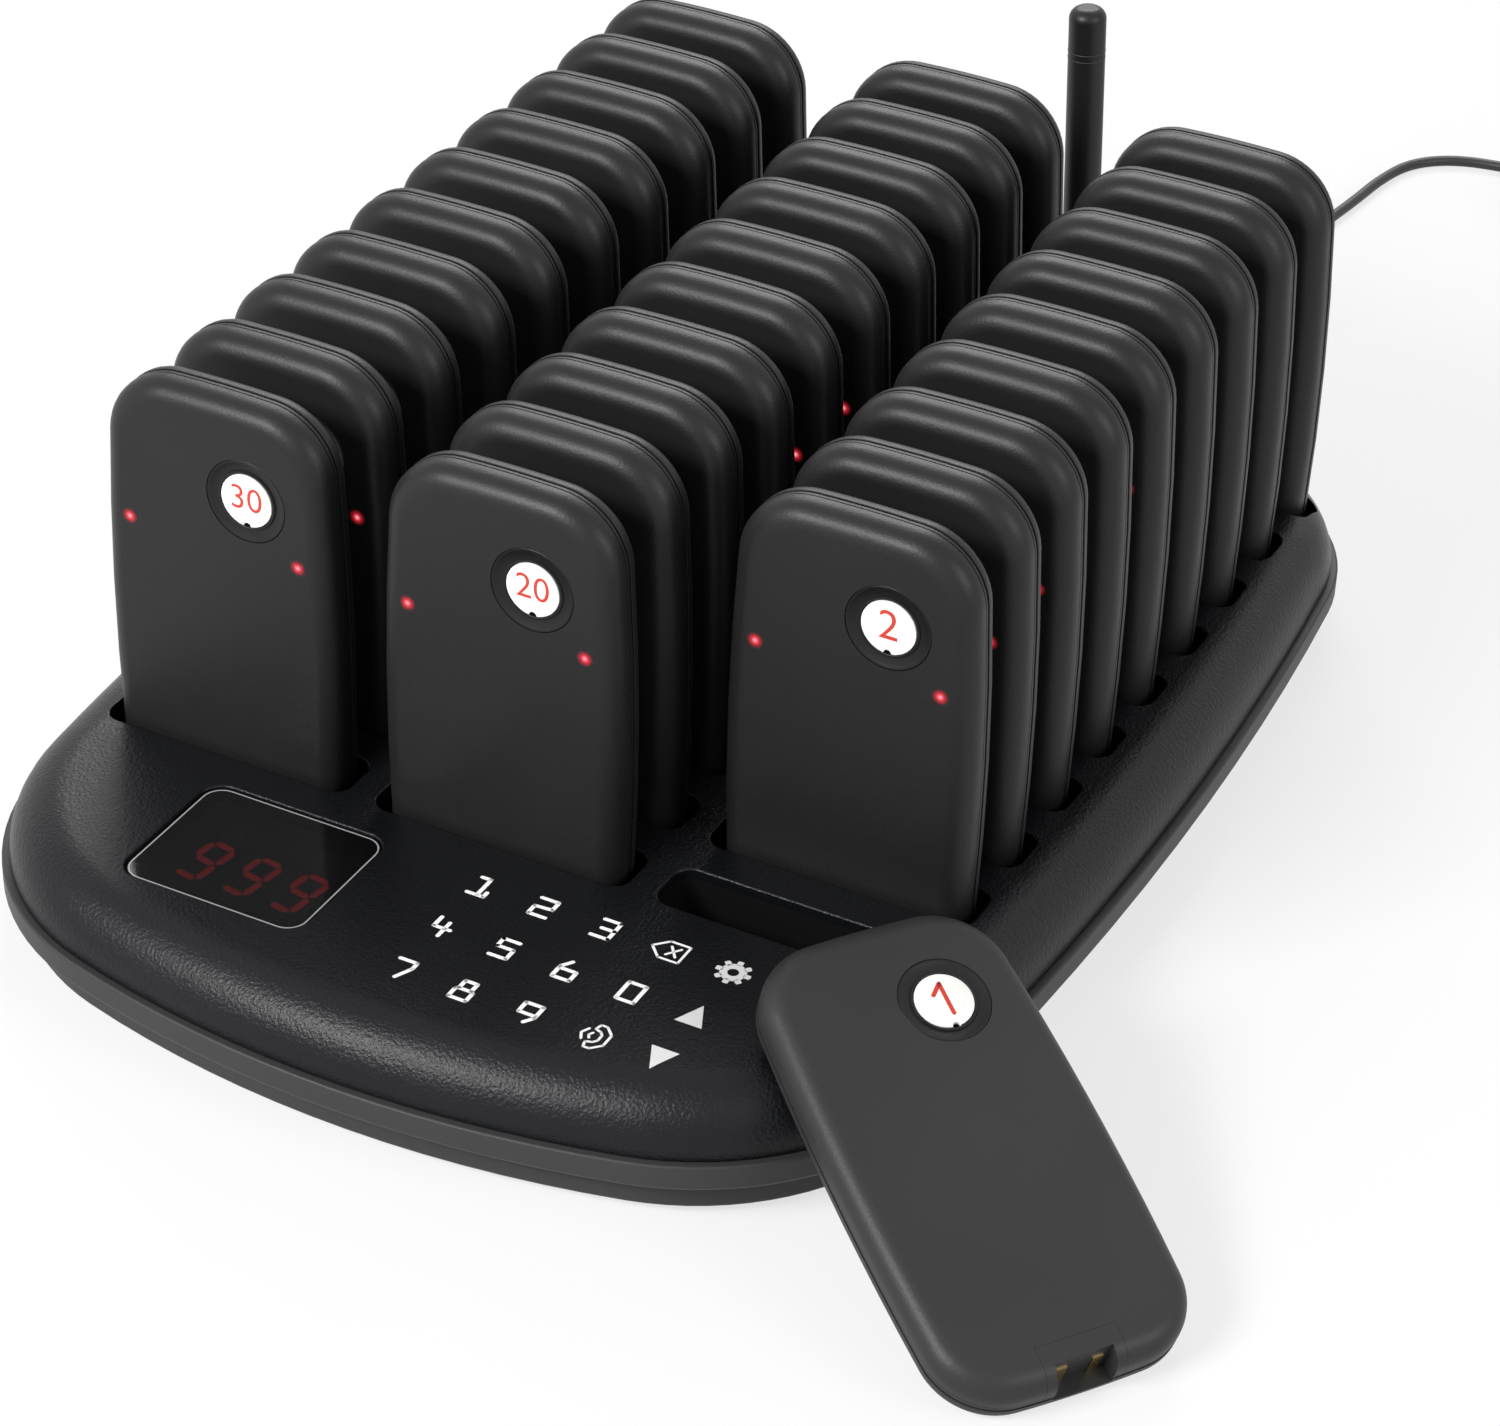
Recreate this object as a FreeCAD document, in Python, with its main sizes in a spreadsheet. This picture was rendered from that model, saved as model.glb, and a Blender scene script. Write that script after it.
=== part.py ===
"""Guest pager system: a charging dock with thirty slots, thirty pagers and its power lead.

The frame has its origin on the table under the middle of the dock, X to the right,
Y to the back and Z up. All sizes are in millimetres and angles in degrees.
"""
import FreeCAD, Part
import math
import os
import re

import Sketcher

Vector = FreeCAD.Vector
Rotation = FreeCAD.Rotation
Placement = FreeCAD.Placement

UP = Vector(0, 0, 1)
BACK = Vector(0, 1, 0)
RIGHT = Vector(1, 0, 0)

# Driving sizes: name, value, what it is
SIZES = [
    ("case_width", 234.8, "dock across, at the ledge"),
    ("case_depth", 340, "dock front to back, at the ledge"),
    ("case_front_arc", 251, "radius of the front edge in plan"),
    ("case_front_corner", 63.7, "radius of the front corners in plan"),
    ("case_side_arc", 1041, "radius of the sides in plan"),
    ("case_side_middle", -4, "where the dock is widest, along Y"),
    ("case_rear_corner", 50, "radius of the rear corners in plan"),
    ("case_rear_arc", 160, "radius of the rear edge in plan"),
    ("deck_height", 30, "table to deck"),
    ("ledge_height", 16, "table to the ledge where the two halves meet"),
    ("ledge_width", 1.8, "how far the lower half stands out under the cover"),
    ("cover_round", 13, "radius of the cover's shoulder"),
    ("wall", 2.5, "wall of both halves"),
    ("band_foot", 9.8, "table to the underside of the side band"),
    ("base_inset", 4.2, "how far the foot of the case is set in under the band"),
    ("base_height", 2, "table to the underside of the case"),
    ("band_round", 1.2, "edge radius of the side band"),
    ("fit_gap", 0.2, "clearance between pieces that are pushed together"),
    ("column_pitch", 69.05, "slot columns, centre to centre"),
    ("row_pitch", 23.53, "slot rows, centre to centre"),
    ("first_row", -91.45, "middle of the front row, along Y"),
    ("slot_length", 62, "slot across the dock"),
    ("slot_width", 14, "slot front to back"),
    ("slot_corner", 4, "corner radius of a slot"),
    ("seat_height", 12.2, "table to the floor of a slot"),
    ("well_wall", 1.8, "wall around a slot well"),
    ("well_floor", 2.2, "floor under a slot well"),
    ("pager_width", 57.8, "pager across, at its widest"),
    ("pager_length", 106, "pager from foot to top"),
    ("pager_thick", 11.5, "pager front to back"),
    ("pager_foot_arc", 300, "radius of the pager's foot edge"),
    ("pager_foot_corner", 15, "radius of the pager's foot corners"),
    ("pager_side_arc", 655, "radius of the pager's sides"),
    ("pager_side_middle", -8, "where a pager is widest, from its middle"),
    ("pager_top_corner", 16, "radius of the pager's top corners"),
    ("pager_top_arc", 300, "radius of the pager's top edge"),
    ("pager_front_round", 5, "edge radius of the pager's face"),
    ("pager_rear_round", 3, "edge radius of the pager's back"),
    ("pager_wall", 1.6, "wall of the pager's shells"),
    ("front_shell_deep", 6.2, "front shell, front to back"),
    ("strip_deep", 0.8, "raised strip in the seam"),
    ("groove_deep", 0.35, "each groove beside the strip"),
    ("strip_inset", 0.15, "strip below the sides"),
    ("groove_inset", 0.5, "groove below the sides"),
    ("ring_across", 19.4, "number ring, outside diameter"),
    ("ring_flange", 22, "flange behind the face that holds the ring"),
    ("ring_lip", 12.9, "inner edge of the ring's face"),
    ("disc_across", 12.4, "number disc, diameter"),
    ("disc_thick", 1, "number disc"),
    ("disc_side", 8.7, "disc to the right of the pager's middle"),
    ("disc_drop", 22, "disc below the pager's top"),
    ("disc_notch", 0.9, "radius of the notch under the number"),
    ("block_wide", 17.6, "contact block across"),
    ("block_tall", 8, "contact block, up from the foot"),
    ("block_back", 2, "contact block starts in front of the pager's back"),
    ("socket_wide", 13, "charging recess across"),
    ("socket_tall", 3.6, "charging recess depth"),
    ("socket_deep", 5, "charging recess front to back"),
    ("strip_wide", 2.4, "charging strip across"),
    ("strip_thick", 0.3, "charging strip thickness"),
    ("contact_pitch", 8, "charging contacts, centre to centre"),
    ("pin_across", 1.6, "charging pin, diameter"),
    ("pin_rise", 3.6, "charging pin above the slot floor"),
    ("board_thick", 1.6, "circuit boards in the dock"),
    ("main_board_level", 18, "table to the underside of the main board"),
    ("charge_board_wide", 30, "charging board across"),
    ("window_left", -64.55, "display window, left edge"),
    ("window_front", -144.8, "display window, front edge"),
    ("window_wide", 44.5, "display window across"),
    ("window_tall", 37, "display window front to back"),
    ("window_corner", 5, "corner radius of the window"),
    ("window_thick", 1.2, "display window"),
    ("window_sink", 0.6, "window below the deck"),
    ("window_rim", 3, "shelf that carries the window"),
    ("digit_pitch", 11.75, "display digits, centre to centre"),
    ("digit_middle", -40.1, "middle digit, along X"),
    ("digit_row", -130.5, "digits, along Y"),
    ("digit_wide", 7.2, "a digit's segments across"),
    ("digit_tall", 14, "a digit's segments front to back"),
    ("digit_slant", 9, "lean of the digits in degrees"),
    ("segment_wide", 1.5, "width of a segment"),
    ("segment_thick", 0.2, "height of a segment on its module"),
    ("module_wide", 33, "display module across"),
    ("module_tall", 19.4, "display module front to back"),
    ("window_air", 0.3, "display module below the window"),
    ("key_left", 5.16, "first key, along X"),
    ("key_back", -112.2, "first key, along Y"),
    ("key_pitch_x", 14.88, "keys across, centre to centre"),
    ("key_pitch_y", 16.13, "key rows, centre to centre"),
    ("key_pad", 10, "copper pad under a key"),
    ("screw_shank", 3, "case screw shank"),
    ("screw_head", 5.8, "case screw head"),
    ("screw_head_high", 2.4, "case screw head height"),
    ("screw_seat", 6.4, "table to the seat of a screw head"),
    ("screw_tip", 24, "table to the tip of a screw"),
    ("screw_gap", 0.05, "clearance around a screw"),
    ("boss_across", 7.4, "screw bosses"),
    ("foot_across", 14, "rubber foot, diameter"),
    ("foot_sink", 1, "rubber foot let into the case"),
    ("port_left", -2, "port recess, left side"),
    ("port_wide", 46, "port recess across"),
    ("port_deep", 14, "port recess in from the rear edge"),
    ("port_top", 25, "table to the roof of the port recess"),
    ("socket_height", 17.4, "table to the axis of both sockets"),
    ("antenna_place", 11, "antenna socket, along X"),
    ("antenna_lean", 2.5, "lean of the antenna to the left in degrees"),
    ("antenna_reach", 26.3, "port face to the antenna's hinge"),
    ("antenna_across", 9.4, "antenna whip, diameter"),
    ("antenna_length", 96.2, "antenna's hinge to its tip"),
    ("knuckle_across", 9.6, "antenna knuckle, diameter"),
    ("thread_across", 6.3, "antenna socket's thread"),
    ("thread_length", 8, "antenna socket out of the port face"),
    ("tongue_wide", 4, "tongue of the antenna's hinge"),
    ("hinge_gap", 0.06, "running clearance in the antenna's hinge"),
    ("hinge_pin", 2.4, "antenna's hinge pin"),
    ("jack_place", 30, "power jack, along X"),
    ("jack_across", 7.8, "power jack barrel"),
    ("jack_flange", 10.6, "power jack flange"),
    ("jack_bore", 5.6, "power jack bore"),
    ("jack_pin", 2, "power jack pin"),
    ("plug_across", 10, "power plug handle"),
    ("plug_length", 22, "power plug handle"),
    ("relief_length", 20, "strain relief behind the plug"),
    ("cord_across", 3, "power lead, diameter"),
    ("coil_radius", 17.5, "middle radius of the coil's turns"),
    ("coil_step", 3.6, "coil turns, centre to centre"),
    ("lead_out", 15, "coil to the adapter's strain relief"),
    ("adapter_long", 62, "power adapter, along the lead"),
    ("adapter_wide", 44, "power adapter across"),
    ("adapter_high", 27, "power adapter height"),
    ("adapter_round", 4, "power adapter edges"),
    ("lean_heading", 54, "loose pager turned in plan, in degrees"),
    ("lean_shift", 18.8, "loose pager along the shoulder"),
    ("lean_gap", 0.3, "loose pager above the shoulder"),
    ("pad_thick", 0.3, "copper pads and their film"),
    ("board_side", 70, "main board, middle to its side"),
    ("board_tall", 45, "main board front to back"),
    ("board_middle", -127.5, "middle of the main board, along Y"),
    ("peg_across", 2.8, "pegs that hold the main board"),
    ("peg_high", 2.4, "pegs above the underside of the main board"),
    ("leg_across", 5, "legs of the slot racks"),
    ("leg_side", 22, "legs to the side of a rack's middle"),
    ("pin_tip", 1, "charging pin's plunger, diameter"),
    ("cross_long", 3, "screw driver recess across"),
    ("cross_wide", 0.8, "screw driver recess slot"),
    ("cross_deep", 1.2, "screw driver recess depth"),
    ("flange_thick", 1.6, "power jack flange thickness"),
    ("jack_depth", 11, "power jack into the case"),
    ("shaft_length", 9.5, "power plug's shaft"),
    ("relief_across", 7, "strain relief at its root"),
    ("relief_wall", 0.6, "strain relief wall at its thin end"),
    ("nut_thick", 2, "nuts of the antenna socket"),
    ("nut_across", 9, "nuts of the antenna socket, corner to corner"),
    ("whip_shoulder", 5, "antenna's hinge to the start of its rod"),
    ("whip_tip_round", 3, "edge radius of the antenna's tip"),
    ("ring_rim", 0.5, "rim of the number ring"),
    ("dish_deep", 0.6, "slope of the number ring"),
    ("flange_deep", 0.8, "thickness of the ring's flange"),
    ("disc_sink", 0.2, "number disc below the pager's face"),
    ("board_level", 5, "pager's back to its circuit board"),
    ("stand_across", 4, "stands under the pager's board"),
    ("stand_side", 18, "stands beside the pager's middle"),
    ("stand_up", 34, "stands above and below the pager's middle"),
    ("pager_board_wide", 44, "pager's board across"),
    ("pager_board_tall", 78, "pager's board length"),
    ("pager_board_thick", 1, "pager's board"),
    ("light_side", 20.5, "lights beside the pager's middle"),
    ("light_up", 71.5, "lights above the pager's foot"),
    ("battery_wide", 28, "battery across"),
    ("battery_tall", 40, "battery length"),
    ("battery_thick", 3, "battery thickness"),
    ("battery_place", -6, "middle of the battery, from the pager's middle"),
    ("motor_across", 10, "motor diameter"),
    ("motor_thick", 2.7, "motor thickness"),
    ("motor_side", 12, "motor beside the pager's middle"),
    ("motor_up", 24, "motor above the pager's middle"),
    ("lean_tilt", 21.3, "rise of the loose pager, in degrees"),
    ("coil_level", 2.7, "table to the middle of the coil's lowest turns"),
    ("coil_rise", 3.62, "coil layers, middle to middle"),
    ("tie_gap", 0.35, "clearance between the tie and the coil"),
    ("tie_thick", 0.8, "cable tie thickness"),
    ("tie_wide", 4, "cable tie width"),
    ("blade_thick", 1.5, "adapter blade thickness"),
    ("blade_wide", 6.3, "adapter blade width"),
    ("blade_long", 16, "adapter blade length"),
    ("blade_pitch", 12.7, "adapter blades, middle to middle"),
    ("blade_back", 18, "adapter blades from its far end"),
]
COLUMNS = 3
ROWS = 10
FOOT_PLACES = [(-80, -108), (80, -108), (-84, 112), (84, 112), (0, 0)]
SCREW_PLACES = [(-89, -122), (89, -122), (-12, -156), (-107.5, 8), (107.5, 8), (-58, 142), (64, 138)]
POST_PLACES = [(-64, -145), (64, -145), (-64, -110), (64, -110)]

CASE = ("case_width", "case_depth", "case_front_arc", "case_front_corner",
        "case_side_arc", "case_side_middle", "case_rear_corner", "case_rear_arc")
PAGER = ("pager_width", "pager_length", "pager_foot_arc", "pager_foot_corner",
         "pager_side_arc", "pager_side_middle", "pager_top_corner", "pager_top_arc")

doc = FreeCAD.newDocument("pager_system")
sheet = doc.addObject("Spreadsheet::Sheet", "Sizes")
for line, (alias, number, words) in enumerate(SIZES, start=1):
    sheet.set(f"A{line}", words)
    sheet.set(f"B{line}", str(number))
    sheet.setAlias(f"B{line}", alias)
doc.recompute()
ALIASES = {alias for alias, number, words in SIZES}
PARTS = {}


def size(alias):
    """The number that the sheet holds under a name."""
    return float(sheet.get(alias))


def formula(text):
    """A sum of named sizes, written out for the sheet."""
    return re.sub(r"[a-z_]+", lambda word: "Sizes." + word[0] if word[0] in ALIASES else word[0], str(text))


def bind(thing, prop, text):
    """Tie one property to the sheet."""
    thing.setExpression(prop, formula(text))


def place(thing, x, y, z):
    """Tie an object's position to the sheet."""
    for axis, text in zip("xyz", (x, y, z)):
        bind(thing, "Placement.Base." + axis, text)


def keep(thing, label):
    """Name a finished sub-part; its label names its file."""
    thing.Label = label
    PARTS[label] = thing
    return thing


def box(name, sides, corner):
    """A block from its three sides and its lowest corner."""
    block = doc.addObject("Part::Box", name)
    for prop, text in zip(("Length", "Width", "Height"), sides):
        bind(block, prop, text)
    place(block, *corner)
    return block


def centred_box(name, sides, middle):
    """A block from its sides, its middle in plan and its lowest level."""
    x, y, z = middle
    return box(name, sides, (f"({x}) - ({sides[0]}) / 2", f"({y}) - ({sides[1]}) / 2", z))


def cylinder(name, across, height, start, along=UP):
    """A round bar from its diameter, its length and the middle of its first end."""
    bar = doc.addObject("Part::Cylinder", name)
    bind(bar, "Radius", f"({across}) / 2")
    bind(bar, "Height", height)
    bar.Placement = Placement(Vector(), Rotation(UP, along))
    place(bar, *start)
    return bar


def cone(name, across, far_across, height, start, along=UP):
    """A taper from its two diameters, its length and the middle of its first end."""
    taper = doc.addObject("Part::Cone", name)
    bind(taper, "Radius1", f"({across}) / 2")
    bind(taper, "Radius2", f"({far_across}) / 2")
    bind(taper, "Height", height)
    taper.Placement = Placement(Vector(), Rotation(UP, along))
    place(taper, *start)
    return taper


def cut(name, base, *tools):
    """One solid less others."""
    result = doc.addObject("Part::Cut", name)
    result.Base = base
    result.Tool = tools[0] if len(tools) == 1 else group(name + "_tools", tools)
    return result


def fuse(name, *pieces):
    """Solids made one."""
    result = doc.addObject("Part::MultiFuse", name)
    result.Shapes = list(pieces)
    result.Refine = True
    return result


def common(name, *pieces):
    """What solids share."""
    result = doc.addObject("Part::MultiCommon", name)
    result.Shapes = list(pieces)
    return result


def group(name, pieces):
    """Separate solids held as one object."""
    result = doc.addObject("Part::Compound", name)
    result.Links = list(pieces)
    return result


def new_body(name):
    return doc.addObject("PartDesign::Body", name)


def new_sketch(body, name, level="0"):
    """A sketch on the body's XY plane, lifted to a level."""
    sketch = body.newObject("Sketcher::SketchObject", name)
    plane = [item for item in body.Origin.OriginFeatures if item.Role == "XY_Plane"][0]
    sketch.AttachmentSupport = [(plane, "")]
    sketch.MapMode = "FlatFace"
    bind(sketch, "AttachmentOffset.Base.z", level)
    return sketch


def datum(sketch, constraint, text):
    """Add a constraint whose value follows the sheet."""
    index = sketch.addConstraint(constraint)
    bind(sketch, f"Constraints[{index}]", text)


def pin_point(sketch, geometry, point, axis, number, text):
    """Hold a point at a signed distance from the origin along one axis."""
    ends = (-1, 1, geometry, point) if number >= 0 else (geometry, point, -1, 1)
    signed = text if number >= 0 else f"-({text})"
    datum(sketch, Sketcher.Constraint("Distance" + axis, *ends, abs(number)), signed)


def corner_centre(first, first_radius, second, second_radius, radius, side):
    """Centre of an arc that runs smoothly inside two larger arcs."""
    reach, other = first_radius - radius, second_radius - radius
    apart = second - first
    along = (reach ** 2 - other ** 2 + apart.Length ** 2) / (2 * apart.Length)
    across = math.sqrt(reach ** 2 - along ** 2)
    unit = Vector(apart).normalize()
    normal = Vector(-unit.y, unit.x, 0)
    choices = [first + unit * along + normal * across * sign for sign in (1, -1)]
    return max(choices, key=lambda point: side * point.y)


def ring_centres(form):
    """Centres of the right-hand arcs: low end, low corner, side, high corner, high end."""
    width, length, low_arc, low_corner, side_arc, middle, high_corner, high_arc = map(size, form)
    low = Vector(0, low_arc - length / 2, 0)
    high = Vector(0, length / 2 - high_arc, 0)
    side = Vector(width / 2 - side_arc, middle, 0)
    low_turn = corner_centre(low, low_arc, side, side_arc, low_corner, -1)
    high_turn = corner_centre(high, high_arc, side, side_arc, high_corner, 1)
    return low, low_turn, side, high_turn, high


def ring_sketch(body, name, form, inset=(), level="0"):
    """A closed outline of eight smooth arcs, drawn in by the sum of the named insets."""
    width, length, low_arc, low_corner, side_arc, middle, high_corner, high_arc = form
    radii = (low_arc, low_corner, side_arc, high_corner, high_arc)
    low, low_turn, side, high_turn, high = ring_centres(form)
    drawn_in = sum(size(alias) for alias in inset)
    drawn_in_text = " + ".join(inset) if inset else "0"

    def angle(start, end):
        return math.atan2(end.y - start.y, end.x - start.x)

    turns = (angle(low, low_turn), angle(side, low_turn), angle(side, high_turn), angle(high, high_turn))
    spans = [(low, -math.pi - turns[0], turns[0]), (low_turn, turns[0], turns[1]), (side, turns[1], turns[2]),
             (high_turn, turns[2], turns[3]), (high, turns[3], math.pi - turns[3])]
    for centre, start, end in reversed(spans[1:4]):
        spans.append((Vector(-centre.x, centre.y, 0), math.pi - end, math.pi - start))
    names = radii + (radii[3], radii[2], radii[1])

    sketch = new_sketch(body, name, level)
    for (centre, start, end), alias in zip(spans, names):
        circle = Part.Circle(centre, UP, size(alias) - drawn_in)
        sketch.addGeometry(Part.ArcOfCircle(circle, start, end))
    for index in range(8):
        sketch.addConstraint(Sketcher.Constraint("Tangent", index, 2, (index + 1) % 8, 1))
    for index, alias in enumerate(radii):
        radius = size(alias) - drawn_in
        datum(sketch, Sketcher.Constraint("Radius", index, radius), f"{alias} - ({drawn_in_text})")
    for right, left in ((1, 7), (2, 6), (3, 5)):
        sketch.addConstraint(Sketcher.Constraint("Equal", right, left))
    for index in (0, 4):
        sketch.addConstraint(Sketcher.Constraint("PointOnObject", index, 3, -2))
    pin_point(sketch, 0, 3, "Y", low.y, f"{low_arc} - {length} / 2")
    pin_point(sketch, 4, 3, "Y", high.y, f"{length} / 2 - {high_arc}")
    for index, sign in ((2, 1), (6, -1)):
        mirrored = f"{width} / 2 - {side_arc}" if sign > 0 else f"{side_arc} - {width} / 2"
        pin_point(sketch, index, 3, "X", sign * side.x, mirrored)
        pin_point(sketch, index, 3, "Y", side.y, middle)
    return sketch


def rounded_sketch(body, name, sides, middle, corner, level="0"):
    """A rectangle with round corners, from texts for its sides, middle and corner radius."""
    wide, tall, x, y, radius = (number(text) for text in (*sides, *middle, corner))
    half_x, half_y = wide / 2 - radius, tall / 2 - radius
    sketch = new_sketch(body, name, level)
    for index, (sign_x, sign_y) in enumerate(((1, -1), (1, 1), (-1, 1), (-1, -1))):
        centre = Vector(x + sign_x * half_x, y + sign_y * half_y, 0)
        start = math.radians(90 * index - 90)
        circle = Part.Circle(centre, UP, radius)
        sketch.addGeometry(Part.ArcOfCircle(circle, start, start + math.pi / 2))
        pin_point(sketch, index, 3, "X", centre.x,
                  f"({middle[0]}) + {sign_x} * (({sides[0]}) / 2 - ({corner}))")
        pin_point(sketch, index, 3, "Y", centre.y,
                  f"({middle[1]}) + {sign_y} * (({sides[1]}) / 2 - ({corner}))")
    for index in range(4):
        start = sketch.Geometry[index].EndPoint
        end = sketch.Geometry[(index + 1) % 4].StartPoint
        line = sketch.addGeometry(Part.LineSegment(start, end))
        sketch.addConstraint(Sketcher.Constraint("Tangent", index, 2, line, 1))
        sketch.addConstraint(Sketcher.Constraint("Tangent", line, 2, (index + 1) % 4, 1))
    datum(sketch, Sketcher.Constraint("Radius", 0, radius), corner)
    return sketch


def circle_sketch(body, name, places, across, level="0"):
    """Equal circles at the given places, each a pair of texts."""
    sketch = new_sketch(body, name, level)
    for index, (x, y) in enumerate(places):
        centre = Vector(number(x), number(y), 0)
        sketch.addGeometry(Part.Circle(centre, UP, number(across) / 2))
        pin_point(sketch, index, 3, "X", centre.x, x)
        pin_point(sketch, index, 3, "Y", centre.y, y)
        datum(sketch, Sketcher.Constraint("Radius", index, number(across) / 2), f"({across}) / 2")
    return sketch


def number(text):
    """The value of a short sum of named sizes, for the first drawing of a sketch."""
    probe = doc.getObject("Probe") or doc.addObject("App::FeaturePython", "Probe")
    if "Value" not in probe.PropertiesList:
        probe.addProperty("App::PropertyFloat", "Value")
    bind(probe, "Value", text)
    probe.recompute()
    return probe.Value


def pad(body, name, sketch, height):
    feature = body.newObject("PartDesign::Pad", name)
    feature.Profile = sketch
    bind(feature, "Length", height)
    return feature


def pocket(body, name, sketch, depth, upwards=False):
    """Cut down from the sketch, or up from it."""
    feature = body.newObject("PartDesign::Pocket", name)
    feature.Profile = sketch
    feature.Reversed = upwards
    bind(feature, "Length", depth)
    return feature


def round_level(body, name, level, radius):
    """Round every edge of the body's last feature that lies at one level."""
    doc.recompute()
    base = body.Tip
    height = number(level)
    edges = []
    for index, edge in enumerate(base.Shape.Edges, start=1):
        bounds = edge.BoundBox
        if abs(bounds.ZMin - height) < 0.01 and abs(bounds.ZMax - height) < 0.01:
            edges.append(f"Edge{index}")
    feature = body.newObject("PartDesign::Fillet", name)
    feature.Base = (base, edges)
    bind(feature, "Radius", radius)
    return feature


def ring_body(name, form, inset, level, height):
    """A flat-ended solid on an eight-arc outline."""
    body = new_body(name)
    sketch = ring_sketch(body, name + "_outline", form, inset, level)
    pad(body, name + "_pad", sketch, height)
    return body


def slab_body(name, sides, middle, corner, level, height):
    """A flat-ended solid on a rounded rectangle."""
    body = new_body(name)
    sketch = rounded_sketch(body, name + "_outline", sides, middle, corner, level)
    pad(body, name + "_pad", sketch, height)
    return body


def repeat_rows(body, name, features):
    """Repeat features once for every slot row, towards the back."""
    pattern = body.newObject("PartDesign::LinearPattern", name)
    plane = [item for item in body.Origin.OriginFeatures if item.Role == "XZ_Plane"][0]
    pattern.Originals = features
    pattern.Direction = (plane, [""])
    pattern.Reversed = True
    pattern.Mode = "Spacing"
    bind(pattern, "Offset", "row_pitch")
    pattern.Occurrences = ROWS
    body.Tip = pattern
    return pattern


# The port recess at the rear, shared by both halves
PORT_FACE = "case_depth / 2 - port_deep"
PORT_MIDDLE = "port_left + port_wide / 2"
FAR = "2 * port_deep"


def make_port_block(name, low, high):
    """The block of walls that a half keeps around the port recess."""
    return box(name, ("port_wide + 2 * wall", FAR, f"({high}) - ({low})"),
               ("port_left - wall", f"{PORT_FACE} - wall", low))


def screw_posts(name, across, low, high):
    """One round post at each screw."""
    return [cylinder(f"{name}_{index}", across, f"({high}) - ({low})", (x, y, low))
            for index, (x, y) in enumerate(SCREW_PLACES)]


def make_top_cover():
    form = ring_body("cover_form", CASE, ("ledge_width",), "ledge_height", "deck_height - ledge_height")
    round_level(form, "cover_shoulder", "deck_height", "cover_round")
    hollow = ring_body("cover_hollow", CASE, ("ledge_width", "wall"), "ledge_height",
                       "deck_height - ledge_height - wall")
    round_level(hollow, "cover_hollow_shoulder", "deck_height - wall", "cover_round - wall")
    shell = cut("cover_shell", form, hollow)
    walls = common("cover_port_walls", form,
                   make_port_block("cover_port_block", "ledge_height", "deck_height"))
    posts = screw_posts("cover_boss", "boss_across", "ledge_height", "deck_height - wall")
    bosses = common("cover_bosses", form, fuse("cover_boss_posts", *posts))
    joined = fuse("cover_joined", shell, walls, bosses)
    recess = box("cover_port_recess", ("port_wide", f"{FAR} + wall", "port_top - ledge_height + wall"),
                 ("port_left", f"{PORT_FACE} - 2 * wall", "ledge_height - wall"))
    pilots = screw_posts("cover_pilot", "screw_shank + 2 * screw_gap", "ledge_height - wall",
                         "screw_tip + fit_gap")
    base = cut("cover_base", joined, recess, *pilots)

    cover = new_body("top_cover_body")
    cover.BaseFeature = base
    doc.recompute()
    window = ("window_left + window_wide / 2", "window_front + window_tall / 2")
    seat = rounded_sketch(cover, "window_seat_outline",
                          ("window_wide + 2 * fit_gap", "window_tall + 2 * fit_gap"),
                          window, "window_corner + fit_gap", "deck_height")
    pocket(cover, "window_seat", seat, "window_sink + window_thick")
    opening = rounded_sketch(cover, "window_opening_outline",
                             ("window_wide - 2 * window_rim", "window_tall - 2 * window_rim"),
                             window, "window_corner - window_rim / 2", "deck_height")
    pocket(cover, "window_opening", opening, "2 * wall")
    slots = []
    for column in range(COLUMNS):
        middle = (f"{column - 1} * column_pitch", "first_row")
        outline = rounded_sketch(cover, f"slot_outline_{column}", ("slot_length", "slot_width"),
                                 middle, "slot_corner", "deck_height")
        slots.append(pocket(cover, f"slot_{column}", outline, "cover_round"))
    repeat_rows(cover, "slot_rows", slots)
    return keep(cover, "top_cover")


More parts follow.
